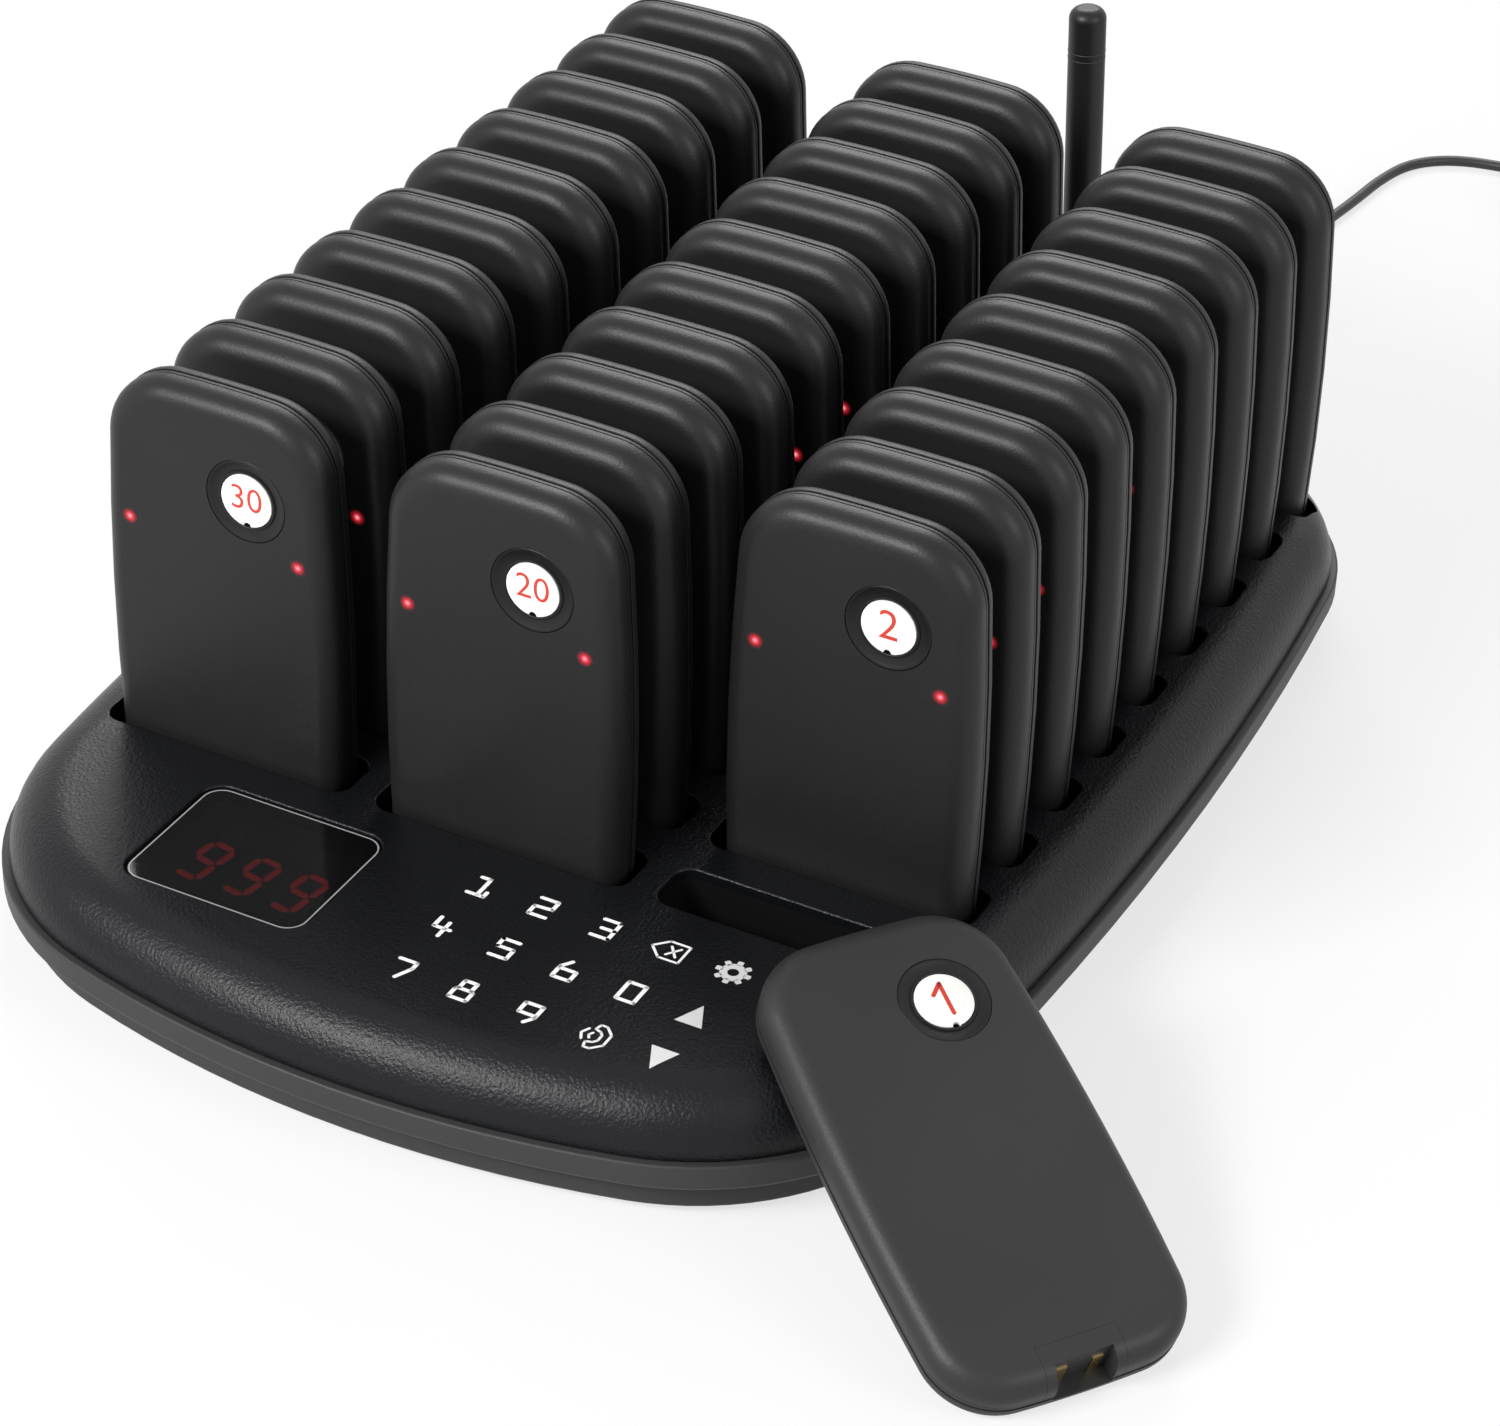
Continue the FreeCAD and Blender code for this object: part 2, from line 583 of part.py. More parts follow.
def make_bottom_case():
    foot = ring_body("case_foot", CASE, ("base_inset",), "base_height", "band_foot - base_height + wall / 2")
    round_level(foot, "case_foot_edge", "base_height", "band_round")
    band = ring_body("case_band", CASE, (), "band_foot", "ledge_height - band_foot")
    round_level(band, "case_band_top", "ledge_height", "band_round / 2")
    round_level(band, "case_band_foot", "band_foot", "band_round")
    form = fuse("case_form", foot, band)
    low_hollow = ring_body("case_low_hollow", CASE, ("base_inset", "wall"), "base_height + wall",
                           "ledge_height - base_height")
    high_hollow = ring_body("case_high_hollow", CASE, ("ledge_width", "wall"), "band_foot + wall",
                            "ledge_height - band_foot")
    shell = cut("case_shell", form, low_hollow, high_hollow)
    walls = common("case_port_walls", form,
                   make_port_block("case_port_block", "band_foot - wall", "ledge_height"))
    recess = box("case_port_recess", ("port_wide", FAR, "ledge_height"),
                 ("port_left", PORT_FACE, "band_foot"))
    panel_tall = "port_top - fit_gap - band_foot + wall"
    panel = box("case_port_panel", ("port_wide - 2 * fit_gap", "wall", panel_tall),
                ("port_left + fit_gap", f"{PORT_FACE} - wall", "band_foot - wall"))
    columns = screw_posts("case_boss", "boss_across + 1", "base_height", "ledge_height - fit_gap")
    bosses = common("case_bosses", form, fuse("case_boss_posts", *columns))
    posts = [cylinder(f"board_post_{index}", "boss_across - 1.4", "main_board_level - base_height",
                      (x, y, "base_height")) for index, (x, y) in enumerate(POST_PLACES)]
    pegs = [cylinder(f"board_peg_{index}", "peg_across", "peg_high + wall",
                     (x, y, "main_board_level - wall")) for index, (x, y) in enumerate(POST_PLACES)]
    joined = fuse("case_joined", cut("case_port_open", fuse("case_walled", shell, walls), recess),
                  panel, bosses, *posts, *pegs)
    holes = screw_posts("case_screw_hole", "screw_shank + 0.4", "0", "ledge_height")
    sinks = screw_posts("case_screw_sink", "screw_head + 0.6", "0", "screw_seat")
    seats = [cylinder(f"foot_seat_{index}", "foot_across + 2 * fit_gap", "base_height + foot_sink",
                      (x, y, "0")) for index, (x, y) in enumerate(FOOT_PLACES)]
    thread = cylinder("thread_hole", "thread_across + 2 * screw_gap", "3 * wall",
                      ("antenna_place", f"{PORT_FACE} - 2 * wall", "socket_height"), BACK)
    jack = cylinder("jack_hole", "jack_across + 2 * screw_gap", "3 * wall",
                    ("jack_place", f"{PORT_FACE} - 2 * wall", "socket_height"), BACK)
    return keep(cut("bottom_case_cut", joined, *holes, *sinks, *seats, thread, jack), "bottom_case")


def make_inner_space():
    """The space inside both halves, which trims what fills it."""
    low = ring_body("space_low", CASE, ("base_inset", "wall", "fit_gap"), "base_height",
                    "ledge_height - base_height")
    high = ring_body("space_high", CASE, ("ledge_width", "wall", "fit_gap"), "band_foot + wall + fit_gap",
                     "deck_height - band_foot - 2 * wall - fit_gap")
    round_level(high, "space_shoulder", "deck_height - wall", "cover_round - wall - fit_gap")
    return fuse("inner_space", low, high)


def make_display_window():
    lens = slab_body("display_window_body", ("window_wide", "window_tall"),
                     ("window_left + window_wide / 2", "window_front + window_tall / 2"),
                     "window_corner", "deck_height - window_sink - window_thick", "window_thick")
    return keep(lens, "display_window")


def make_display_module():
    foot = "main_board_level + board_thick"
    face = "deck_height - window_sink - window_thick - window_air - segment_thick"
    housing = centred_box("display_housing", ("module_wide", "module_tall", f"({face}) - ({foot})"),
                          ("digit_middle", "digit_row", foot))
    segments = []
    slant = size("digit_slant")
    half_wide, half_tall = (size("digit_wide") - size("segment_wide")) / 2, size("digit_tall") / 4
    across = size("digit_wide") - 1.6 * size("segment_wide")
    upright = size("digit_tall") / 2 - 1.1 * size("segment_wide")
    bars = [(0, 2, across, False), (0, 0, across, False), (0, -2, across, False),
            (-1, 1, upright, True), (1, 1, upright, True), (-1, -1, upright, True), (1, -1, upright, True)]
    for digit in range(3):
        middle = Vector(size("digit_middle") + (digit - 1) * size("digit_pitch"), size("digit_row"), 0)
        lean = Placement(middle, Rotation(UP, -slant))
        for index, (side, level, length, standing) in enumerate(bars):
            bar = doc.addObject("Part::Box", f"segment_{digit}_{index}")
            sides = ("segment_wide", str(length)) if standing else (str(length), "segment_wide")
            for prop, text in zip(("Length", "Width", "Height"), (*sides, "segment_thick")):
                bind(bar, prop, text)
            along = level * (half_tall - size("segment_wide") / 4) - bar.Width.Value / 2
            offset = Vector(side * half_wide - bar.Length.Value / 2, along, number(face))
            bar.Placement = lean * Placement(offset, Rotation())
            segments.append(bar)
    return keep(group("display_module_group", [housing] + segments), "display_module")


def make_touch_board(space):
    top = "deck_height - wall - pad_thick"
    middle = ("key_left + 2 * key_pitch_x", "key_back - key_pitch_y")
    board = centred_box("touch_sheet", ("4 * key_pitch_x + key_pad + 4", "2 * key_pitch_y + key_pad + 4",
                                        "board_thick"), (*middle, f"{top} - board_thick"))
    pads = []
    for row in range(3):
        for column in range(5):
            place_text = (f"key_left + {column} * key_pitch_x", f"key_back - {row} * key_pitch_y", top)
            pads.append(cylinder(f"key_pad_{row}_{column}", "key_pad", "pad_thick", place_text))
    return keep(common("touch_board_trimmed", fuse("touch_board_whole", board, *pads), space), "touch_board")


def make_main_board(space):
    board = centred_box("main_sheet", ("2 * board_side", "board_tall", "board_thick"),
                        ("0", "board_middle", "main_board_level"))
    holes = [cylinder(f"peg_hole_{index}", "peg_across + fit_gap", "2 * board_thick",
                      (x, y, "main_board_level - board_thick / 2"))
             for index, (x, y) in enumerate(POST_PLACES)]
    sheet_cut = cut("main_sheet_cut", common("main_sheet_trimmed", board, space), *holes)
    top = "main_board_level + board_thick"
    radio = centred_box("radio_can", ("22", "18", "3.2"), ("44", "board_middle", top))
    chip = centred_box("control_chip", ("10", "10", "1.2"), ("16", "board_middle + 6", top))
    crystal = centred_box("crystal", ("11", "4.6", "3.4"), ("0", "board_middle - 8", top))
    plug_block = centred_box("ribbon_socket", ("24", "5", "4"), ("12", "board_middle + 16", top))
    return keep(group("main_board_group", [sheet_cut, radio, chip, crystal, plug_block]), "main_board")


def column_middle(column):
    return f"{column - 1} * column_pitch"


def row_middle(row):
    return f"first_row + {row} * row_pitch"


def make_rack(column, label, space):
    x = column_middle(column)
    foot = "seat_height - well_floor"
    roof = "deck_height - wall"
    length = f"{ROWS - 1} * row_pitch + slot_width + 2 * well_wall"
    block = centred_box(label + "_block", ("slot_length + 2 * well_wall", length, f"{roof} - ({foot})"),
                        (x, f"first_row + {(ROWS - 1) / 2} * row_pitch", foot))
    leg_tall = f"{foot} - base_height - wall + well_floor / 2"
    legs = [cylinder(f"{label}_leg_{row}_{side}", "leg_across", leg_tall,
                     (f"{x} + {side} * leg_side", row_middle(row), "base_height + wall"))
            for row in (0, 5, 9) for side in (-1, 1)]
    base = fuse(label + "_base", common(label + "_trimmed", block, space), *legs)
    rack = new_body(label + "_body")
    rack.BaseFeature = base
    doc.recompute()
    well = rounded_sketch(rack, label + "_well_outline", ("slot_length", "slot_width"), (x, "first_row"),
                          "slot_corner", roof)
    wells = pocket(rack, label + "_well", well, f"{roof} - seat_height")
    pin_places = [(f"{x} - contact_pitch / 2", "first_row"), (f"{x} + contact_pitch / 2", "first_row")]
    pins = circle_sketch(rack, label + "_pin_outline", pin_places, "pin_across + fit_gap", roof)
    holes = pocket(rack, label + "_pin_holes", pins, roof)
    repeat_rows(rack, label + "_rows", [wells, holes])
    cores = [centred_box(f"{label}_core_{row}",
                         ("slot_length - 2 * slot_corner", "row_pitch - slot_width - 2 * well_wall",
                          f"{roof} - well_wall - ({foot}) + wall"),
                         (x, f"{row_middle(row)} + row_pitch / 2", f"{foot} - wall"))
             for row in range(ROWS - 1)]
    return keep(cut(label + "_cored", rack, *cores), label)


def make_charge_boards():
    length = f"{ROWS - 1} * row_pitch + slot_width"
    boards = [centred_box(f"charge_board_{column}", ("charge_board_wide", length, "board_thick"),
                          (column_middle(column), f"first_row + {(ROWS - 1) / 2} * row_pitch",
                           "seat_height - well_floor - board_thick")) for column in range(COLUMNS)]
    return keep(group("charge_boards_group", boards), "charge_boards")


def make_charge_pins():
    barrel = cylinder("pin_barrel", "pin_across", "well_floor + pin_tip", ("0", "0", "0"))
    plunger = cylinder("pin_plunger", "pin_tip", "well_floor + pin_rise", ("0", "0", "0"))
    master = fuse("pin", barrel, plunger)
    pins = []
    for column in range(COLUMNS):
        for row in range(ROWS):
            for side in (-1, 1):
                pin = group(f"pin_{column}_{row}_{side + 1}", [master])
                place(pin, f"{column_middle(column)} + {side} * contact_pitch / 2", row_middle(row),
                      "seat_height - well_floor")
                pins.append(pin)
    return keep(group("charge_pins_group", pins), "charge_pins")


def make_rubber_feet():
    feet = []
    for index, (x, y) in enumerate(FOOT_PLACES):
        edge = cone(f"foot_edge_{index}", "foot_across - 2 * foot_sink", "foot_across", "foot_sink",
                    (x, y, "0"))
        stem = cylinder(f"foot_stem_{index}", "foot_across", "base_height", (x, y, "foot_sink"))
        feet.append(fuse(f"foot_{index}", edge, stem))
    return keep(group("rubber_feet_group", feet), "rubber_feet")


def make_case_screws():
    screws = []
    for index, (x, y) in enumerate(SCREW_PLACES):
        head = cylinder(f"head_{index}", "screw_head", "screw_head_high",
                        (x, y, "screw_seat - screw_head_high"))
        shank = cylinder(f"shank_{index}", "screw_shank", "screw_tip - screw_seat + screw_head_high / 2",
                         (x, y, "screw_seat - screw_head_high / 2"))
        cross_level = "screw_seat - screw_head_high - cross_deep"
        slots = [centred_box(f"cross_{index}_{turn}", sides, (x, y, cross_level))
                 for turn, sides in enumerate((("cross_long", "cross_wide", "2 * cross_deep"),
                                               ("cross_wide", "cross_long", "2 * cross_deep")))]
        screws.append(cut(f"screw_{index}", fuse(f"screw_form_{index}", head, shank), *slots))
    return keep(group("case_screws_group", screws), "case_screws")


def make_dc_jack():
    start = ("jack_place", PORT_FACE, "socket_height")
    flange = cylinder("jack_flange_disc", "jack_flange", "flange_thick", start, BACK)
    barrel = cylinder("jack_barrel", "jack_across", "jack_depth",
                      ("jack_place", f"{PORT_FACE} - jack_depth", "socket_height"), BACK)
    bore = cylinder("jack_bore_cut", "jack_bore", "jack_depth + 2 * flange_thick",
                    ("jack_place", f"{PORT_FACE} - jack_depth + flange_thick", "socket_height"), BACK)
    pin = cylinder("jack_centre_pin", "jack_pin", "jack_depth - flange_thick",
                   ("jack_place", f"{PORT_FACE} - jack_depth + flange_thick / 2", "socket_height"), BACK)
    opened = cut("jack_open", fuse("jack_form", flange, barrel), bore)
    return keep(fuse("dc_jack_whole", opened, pin), "dc_jack")


def make_dc_plug():
    face = f"{PORT_FACE} + flange_thick"
    handle = cylinder("plug_handle", "plug_across", "plug_length",
                      ("jack_place", face, "socket_height"), BACK)
    relief = cone("plug_relief", "relief_across", "cord_across + 2 * relief_wall", "relief_length",
                  ("jack_place", f"{face} + plug_length", "socket_height"), BACK)
    shaft = cylinder("plug_shaft", "jack_bore - 2 * screw_gap", "shaft_length + flange_thick",
                     ("jack_place", f"{face} - shaft_length", "socket_height"), BACK)
    bore = cylinder("plug_bore", "jack_pin + 2 * screw_gap", "shaft_length + flange_thick",
                    ("jack_place", f"{face} - shaft_length - flange_thick / 2", "socket_height"), BACK)
    return keep(cut("dc_plug_whole", fuse("dc_plug_form", handle, relief, shaft), bore), "dc_plug")


def make_antenna_socket():
    inside = f"{PORT_FACE} - wall - nut_thick"
    thread = cylinder("socket_thread", "thread_across", "thread_length + wall + nut_thick",
                      ("antenna_place", inside, "socket_height"), BACK)
    nuts = []
    for name, level in (("inner", inside), ("outer", PORT_FACE)):
        nut = doc.addObject("Part::Prism", f"socket_{name}_nut")
        nut.Polygon = 6
        bind(nut, "Circumradius", "nut_across / 2")
        bind(nut, "Height", "nut_thick")
        nut.Placement = Placement(Vector(), Rotation(UP, BACK))
        place(nut, "antenna_place", level, "socket_height")
        nuts.append(nut)
    return keep(fuse("antenna_socket_whole", thread, *nuts), "antenna_socket")


def lean_antenna(label, *pieces):
    """Put pieces modelled about the hinge in their place, leaning with the antenna."""
    leaning = group(label + "_group", pieces)
    leaning.Placement = Placement(Vector(), Rotation(Vector(0, -1, 0), size("antenna_lean")))
    bind(leaning, "Placement.Rotation.Angle", "antenna_lean * 1 deg")
    place(leaning, "antenna_place", f"{PORT_FACE} + antenna_reach", "socket_height")
    return keep(leaning, label)


def make_antenna_knuckle():
    start = "nut_thick + fit_gap - antenna_reach"
    reach = "antenna_reach - nut_thick - fit_gap"
    round_bar = cylinder("knuckle_bar", "knuckle_across", f"{reach} + knuckle_across / 2",
                         ("0", start, "0"), BACK)
    block = box("knuckle_block", ("knuckle_across", reach, "knuckle_across"),
                ("-knuckle_across / 2", start, "-knuckle_across / 2"))
    eye = cylinder("knuckle_eye", "knuckle_across", "knuckle_across",
                   ("-knuckle_across / 2", "0", "0"), RIGHT)
    form = common("knuckle_form", round_bar, fuse("knuckle_side", block, eye))
    bore = cylinder("knuckle_bore", "thread_across + 2 * hinge_gap", "thread_length - nut_thick + fit_gap",
                    ("0", f"{start} - fit_gap", "0"), BACK)
    fork = box("knuckle_fork", ("tongue_wide + 2 * hinge_gap", "2 * knuckle_across", "2 * knuckle_across"),
               ("-tongue_wide / 2 - hinge_gap", "-antenna_across / 2 - 4 * hinge_gap", "-knuckle_across"))
    eye_hole = cylinder("knuckle_pin_hole", "hinge_pin", "2 * knuckle_across",
                        ("-knuckle_across", "0", "0"), RIGHT)
    pin = cylinder("knuckle_pin", "hinge_pin", "knuckle_across - 4 * hinge_gap",
                   ("2 * hinge_gap - knuckle_across / 2", "0", "0"), RIGHT)
    return lean_antenna("antenna_knuckle", cut("knuckle_cut", form, bore, fork, eye_hole), pin)


def make_antenna_whip():
    rod = new_body("whip_rod")
    section = circle_sketch(rod, "whip_section", [("0", "0")], "antenna_across", "whip_shoulder")
    pad(rod, "whip_pad", section, "antenna_length - whip_shoulder")
    round_level(rod, "whip_tip", "antenna_length", "whip_tip_round")
    stem = cylinder("whip_stem", "antenna_across", "whip_shoulder + antenna_across / 2 + fit_gap",
                    ("0", "0", "-antenna_across / 2"))
    tongue = box("whip_tongue", ("tongue_wide", "antenna_across", "whip_shoulder + fit_gap"),
                 ("-tongue_wide / 2", "-antenna_across / 2", "0"))
    end = cylinder("whip_end", "antenna_across", "tongue_wide", ("-tongue_wide / 2", "0", "0"), RIGHT)
    root = common("whip_root", stem, fuse("whip_root_side", tongue, end))
    hole = cylinder("whip_pin_hole", "hinge_pin + 2 * hinge_gap", "2 * tongue_wide",
                    ("-tongue_wide", "0", "0"), RIGHT)
    return lean_antenna("antenna_whip", cut("whip_whole", fuse("whip_form", rod, root), hole))


# The pager lies on its back about its middle: X to its right, Y to its top, Z out of its face
SEAM = "pager_thick - front_shell_deep"
FOOT = "pager_length / 2"
DISC = ("disc_side", "pager_length / 2 - disc_drop")


def make_pager_forms():
    """Outer forms of the two shells, with the strip and grooves of the seam."""
    front = ring_body("front_form", PAGER, (), SEAM, "front_shell_deep")
    round_level(front, "front_edge", "pager_thick", "pager_front_round")
    back = ring_body("back_form", PAGER, (), "0", f"{SEAM} - strip_deep - 2 * groove_deep")
    round_level(back, "back_edge", "0", "pager_rear_round")
    core = ring_body("seam_core", PAGER, ("groove_inset",), "pager_rear_round",
                     f"{SEAM} - pager_rear_round")
    strip = ring_body("seam_strip", PAGER, ("strip_inset",), f"{SEAM} - strip_deep - groove_deep",
                      "strip_deep")
    return front, fuse("rear_form", back, core, strip)


def block_box(name, grow="0"):
    """The contact block's space, grown by a clearance at its sides and top."""
    return box(name, (f"block_wide + 2 * ({grow})", f"block_tall + 1 + {grow}", "2 * pager_thick"),
               (f"-block_wide / 2 - ({grow})", f"-{FOOT} - 1", f"block_back - ({grow})"))


def socket_box(name):
    """The charging recess, open at the face."""
    return box(name, ("socket_wide", "socket_tall + strip_thick + 1", "pager_thick"),
               ("-socket_wide / 2", f"-{FOOT} - 1", "(pager_thick - socket_deep) / 2"))


def disc_bar(name, across, height, level):
    return cylinder(name, across, height, (*DISC, level))


def dish(name):
    """The shallow slope between the ring's rim and the disc."""
    return cone(name, "ring_lip", "ring_across - 2 * ring_rim", "dish_deep",
                (*DISC, "pager_thick - dish_deep"))


def make_shells(front, rear):
    room = ring_body("shell_room", PAGER, ("pager_wall", "groove_inset"), "pager_wall",
                     "pager_thick - 2 * pager_wall")
    round_level(room, "shell_room_edge", "pager_thick - pager_wall", "pager_front_round - pager_wall")
    hole = disc_bar("ring_hole", "ring_across + 2 * screw_gap", "2 * pager_wall",
                    "pager_thick - 1.5 * pager_wall")
    face = cut("front_shell_cut", front, room, block_box("front_notch", "screw_gap"), hole)
    stands = [cylinder(f"stand_{side_x + 1}_{side_y + 1}", "stand_across", "board_level - pager_wall / 2",
                       (f"{side_x} * stand_side", f"{side_y} * stand_up", "pager_wall / 2"))
              for side_x in (-1, 1) for side_y in (-1, 1)]
    opened = cut("rear_shell_cut", rear, room, block_box("rear_notch", "screw_gap"))
    return face, fuse("rear_shell_joined", opened, *stands)


def make_ring():
    level = "pager_thick - pager_wall - flange_deep"
    rim = disc_bar("ring_rim_bar", "ring_across", "pager_wall + flange_deep", level)
    flange = disc_bar("ring_flange_bar", "ring_flange", "flange_deep", level)
    seat = disc_bar("ring_seat", "disc_across + 2 * fit_gap", "2 * disc_thick",
                    "pager_thick - disc_sink - disc_thick")
    return cut("ring_cut", fuse("ring_form", rim, flange), seat, dish("ring_dish"))


def make_disc():
    plate = disc_bar("disc_plate", "disc_across", "disc_thick", "pager_thick - disc_sink - disc_thick")
    notch = cylinder("disc_notch_cut", "2 * disc_notch", "pager_thick",
                     (DISC[0], f"{DISC[1]} - disc_across / 2", "pager_thick / 2"))
    return cut("disc_cut", plate, notch)


def make_block(form):
    inner = common("block_form", form, block_box("block_space"))
    return cut("block_cut", inner, socket_box("block_socket"))


def make_strips():
    pieces = [centred_box(f"strip_{side + 1}", ("strip_wide", "strip_thick", "socket_deep"),
                          (f"{side} * contact_pitch / 2", f"socket_tall + strip_thick / 2 - {FOOT}",
                           "(pager_thick - socket_deep) / 2")) for side in (-1, 1)]
    return group("strips", pieces)


def make_pager_board():
    plate = centred_box("pager_sheet", ("pager_board_wide", "pager_board_tall", "pager_board_thick"),
                        ("0", "0", "board_level"))
    lights = [centred_box(f"light_{side + 1}", ("3", "2.4", "1.2"),
                          (f"{side} * light_side", f"light_up - {FOOT}", "board_level + pager_board_thick"))
              for side in (-1, 1)]
    chip = centred_box("pager_chip", ("9", "9", "1.1"), ("-6", "6", "board_level + pager_board_thick"))
    receiver = centred_box("pager_receiver", ("14", "11", "2"),
                           ("4", "-22", "board_level + pager_board_thick"))
    return group("pager_board_group", [plate, chip, receiver, *lights])


def make_battery():
    cell = slab_body("battery_cell", ("battery_wide", "battery_tall"), ("0", "battery_place"), "2",
                     "pager_wall", "battery_thick")
    return cell


def make_motor():
    can = cylinder("motor_can", "motor_across", "motor_thick",
                   ("motor_side", "motor_up", "board_level - motor_thick"))
    return can


def make_whole_pager(form):
    """A standing pager as one closed solid with its outer form, dish, disc and charging recess."""
    opened = cut("pager_opened", form, dish("pager_dish"),
                 disc_bar("pager_seat", "disc_across + 2 * fit_gap", "2 * disc_thick",
                          "pager_thick - disc_sink - disc_thick"), socket_box("pager_socket"))
    plate = disc_bar("pager_disc", "disc_across", "2 * disc_thick",
                     "pager_thick - disc_sink - 2 * disc_thick")
    return fuse("pager_whole", opened, plate)


def stand_pagers(whole):
    """Twenty-nine pagers in their slots; the front right slot is empty."""
    for column in range(COLUMNS):
        for row in range(ROWS):
            name = row + 1 if column == 2 else (COLUMNS - column) * ROWS - row
            if name == 1:
                continue
            pager = group(f"pager_{name:02d}_group", [whole])
            pager.Placement = Placement(Vector(), Rotation(RIGHT, 90))
            place(pager, column_middle(column), f"{row_middle(row)} + pager_thick / 2",
                  f"seat_height + fit_gap + {FOOT}")
            keep(pager, f"pager_{name:02d}")


def leaning_placement(form):
    """Where the loose pager rests: its foot on the table, its back on the cover's front right shoulder."""
    low, corner, side, high_corner, high = ring_centres(CASE)
    heading = math.radians(size("lean_heading"))
    outward = Vector(math.sin(heading), -math.cos(heading), 0)
    across = Vector(math.cos(heading), math.sin(heading), 0)
    drawn_in = size("ledge_width") + size("cover_round")
    shoulder = corner + outward * (size("case_front_corner") - drawn_in)
    shoulder.z = size("deck_height") - size("cover_round")
    tilt = math.radians(size("lean_tilt"))
    face = outward * math.sin(tilt) + UP * math.cos(tilt)
    along = face.cross(across)
    resting = shoulder + face * (size("cover_round") + size("lean_gap")) + across * size("lean_shift")
    turn = FreeCAD.Matrix(across.x, along.x, face.x, 0, across.y, along.y, face.y, 0,
                          across.z, along.z, face.z, 0, 0, 0, 0, 1)
    turned = form.Shape.copy()
    turned.Placement = Placement(turn)
    drop = (resting.z + turned.optimalBoundingBox(True).ZMin) / along.z
    placement = Placement(turn)
    placement.Base = resting - along * drop
    return placement


def lean_pager(pieces, form):
    doc.recompute()
    placement = leaning_placement(form)
    for label, piece in pieces.items():
        leaning = group(f"pager_01_{label}_group", [piece])
        leaning.Placement = placement
        keep(leaning, "pager_01_" + label)


# The power lead
CORD_POINTS = [(30.2, 236, 12.8), (29.7, 254, 6.4), (29.4, 272, 2.2), (30.0, 291, 1.55), (31.2, 311, 1.55),
               (33.8, 328, 1.55), (35.4, 344, 1.55), (39.4, 358.6, 1.55), (50.2, 367.8, 1.55),
               (66.2, 370.6, 1.55), (81, 369.7, 2.7)]
COIL_LAYERS = (4, 4, 4, 3)
COIL_MIDDLE = Vector(102, 348.6, 0)


def arc_edge(start, corner, end):
    """The arc that leaves one straight run and joins the next, touching both."""
    middle = (start + end) / 2
    half = start.distanceToPoint(end) / 2
    lean = math.acos(half / start.distanceToPoint(corner))
    top = middle + (corner - middle).normalize() * half * math.tan(lean / 2)
    return Part.Arc(start, top, end).toShape()


def biarc_edges(start, start_way, end, end_way):
    """Two arcs that join smoothly and leave and arrive in the given directions."""
    span = end - start
    ways = start_way + end_way
    turn = 2 * (1 - start_way * end_way)
    reach = (math.sqrt((span * ways) ** 2 + turn * (span * span)) - span * ways) / turn
    first = start + start_way * reach
    second = end - end_way * reach
    meeting = (first + second) / 2
    return [arc_edge(start, first, meeting), arc_edge(meeting, second, end)]


def run_edges(points):
    """Straight runs joined by arcs, each as large as its two runs allow."""
    edges, radii = [], []
    last = points[0]
    for before, corner, after in zip(points, points[1:], points[2:]):
        reach = 0.45 * min(before.distanceToPoint(corner), corner.distanceToPoint(after))
        start = corner + (before - corner).normalize() * reach
        end = corner + (after - corner).normalize() * reach
        edges += [Part.makeLine(last, start), arc_edge(start, corner, end)]
        radii.append(reach / math.tan((after - corner).getAngle(corner - before) / 2))
        last = end
    edges.append(Part.makeLine(last, points[-1]))
    return edges, radii


def coil_stations():
    """The coil's half turns: where each begins and the way the lead runs there."""
    moves = []
    for layer, half_turns in enumerate(COIL_LAYERS):
        if layer:
            moves.append((0, size("coil_rise")))
        drift = size("coil_step") / 2 * (-1 if layer % 2 == 0 else 1)
        moves += [(drift, 0)] * half_turns
    radius = size("coil_radius") + size("coil_step")
    level = size("coil_level")
    stations = []
    for index in range(len(moves) + 1):
        angle = math.pi / 2 - math.pi * index
        outward = Vector(math.cos(angle), math.sin(angle), 0)
        drift = (moves[index - 1][0] or moves[index][0]) if 0 < index < len(moves) else 0
        way = Vector(outward.y, -outward.x, 0) + outward * (drift / (math.pi * radius))
        stations.append((COIL_MIDDLE + outward * radius + UP * level, way.normalize()))
        if index < len(moves):
            radius += moves[index][0]
            level += moves[index][1]
    return stations


def tube(name, edges):
    """A round tube along a smooth path, its volume set against its section times its length."""
    path = Part.Wire(edges)
    start = edges[0].Vertexes[0].Point
    section = Part.Wire(Part.Circle(start, edges[0].tangentAt(edges[0].FirstParameter),
                                    size("cord_across") / 2).toShape())
    solid = path.makePipeShell([section], True, False)
    expected = math.pi * size("cord_across") ** 2 / 4 * path.Length
    print(f"{name}: length {path.Length:.1f}, volume {solid.Volume:.1f} of {expected:.1f}")
    feature = doc.addObject("Part::Feature", name)
    feature.Shape = solid
    return feature, path


def least_gap(path):
    """The least space between turns of the coil, measured on points along it."""
    count = int(path.Length)
    points = path.discretize(Number=count)
    apart = int(count * 12 / path.Length)
    nearest = min(points[i].distanceToPoint(points[j]) for i in range(count) for j in range(i + apart, count))
    return nearest - size("cord_across")


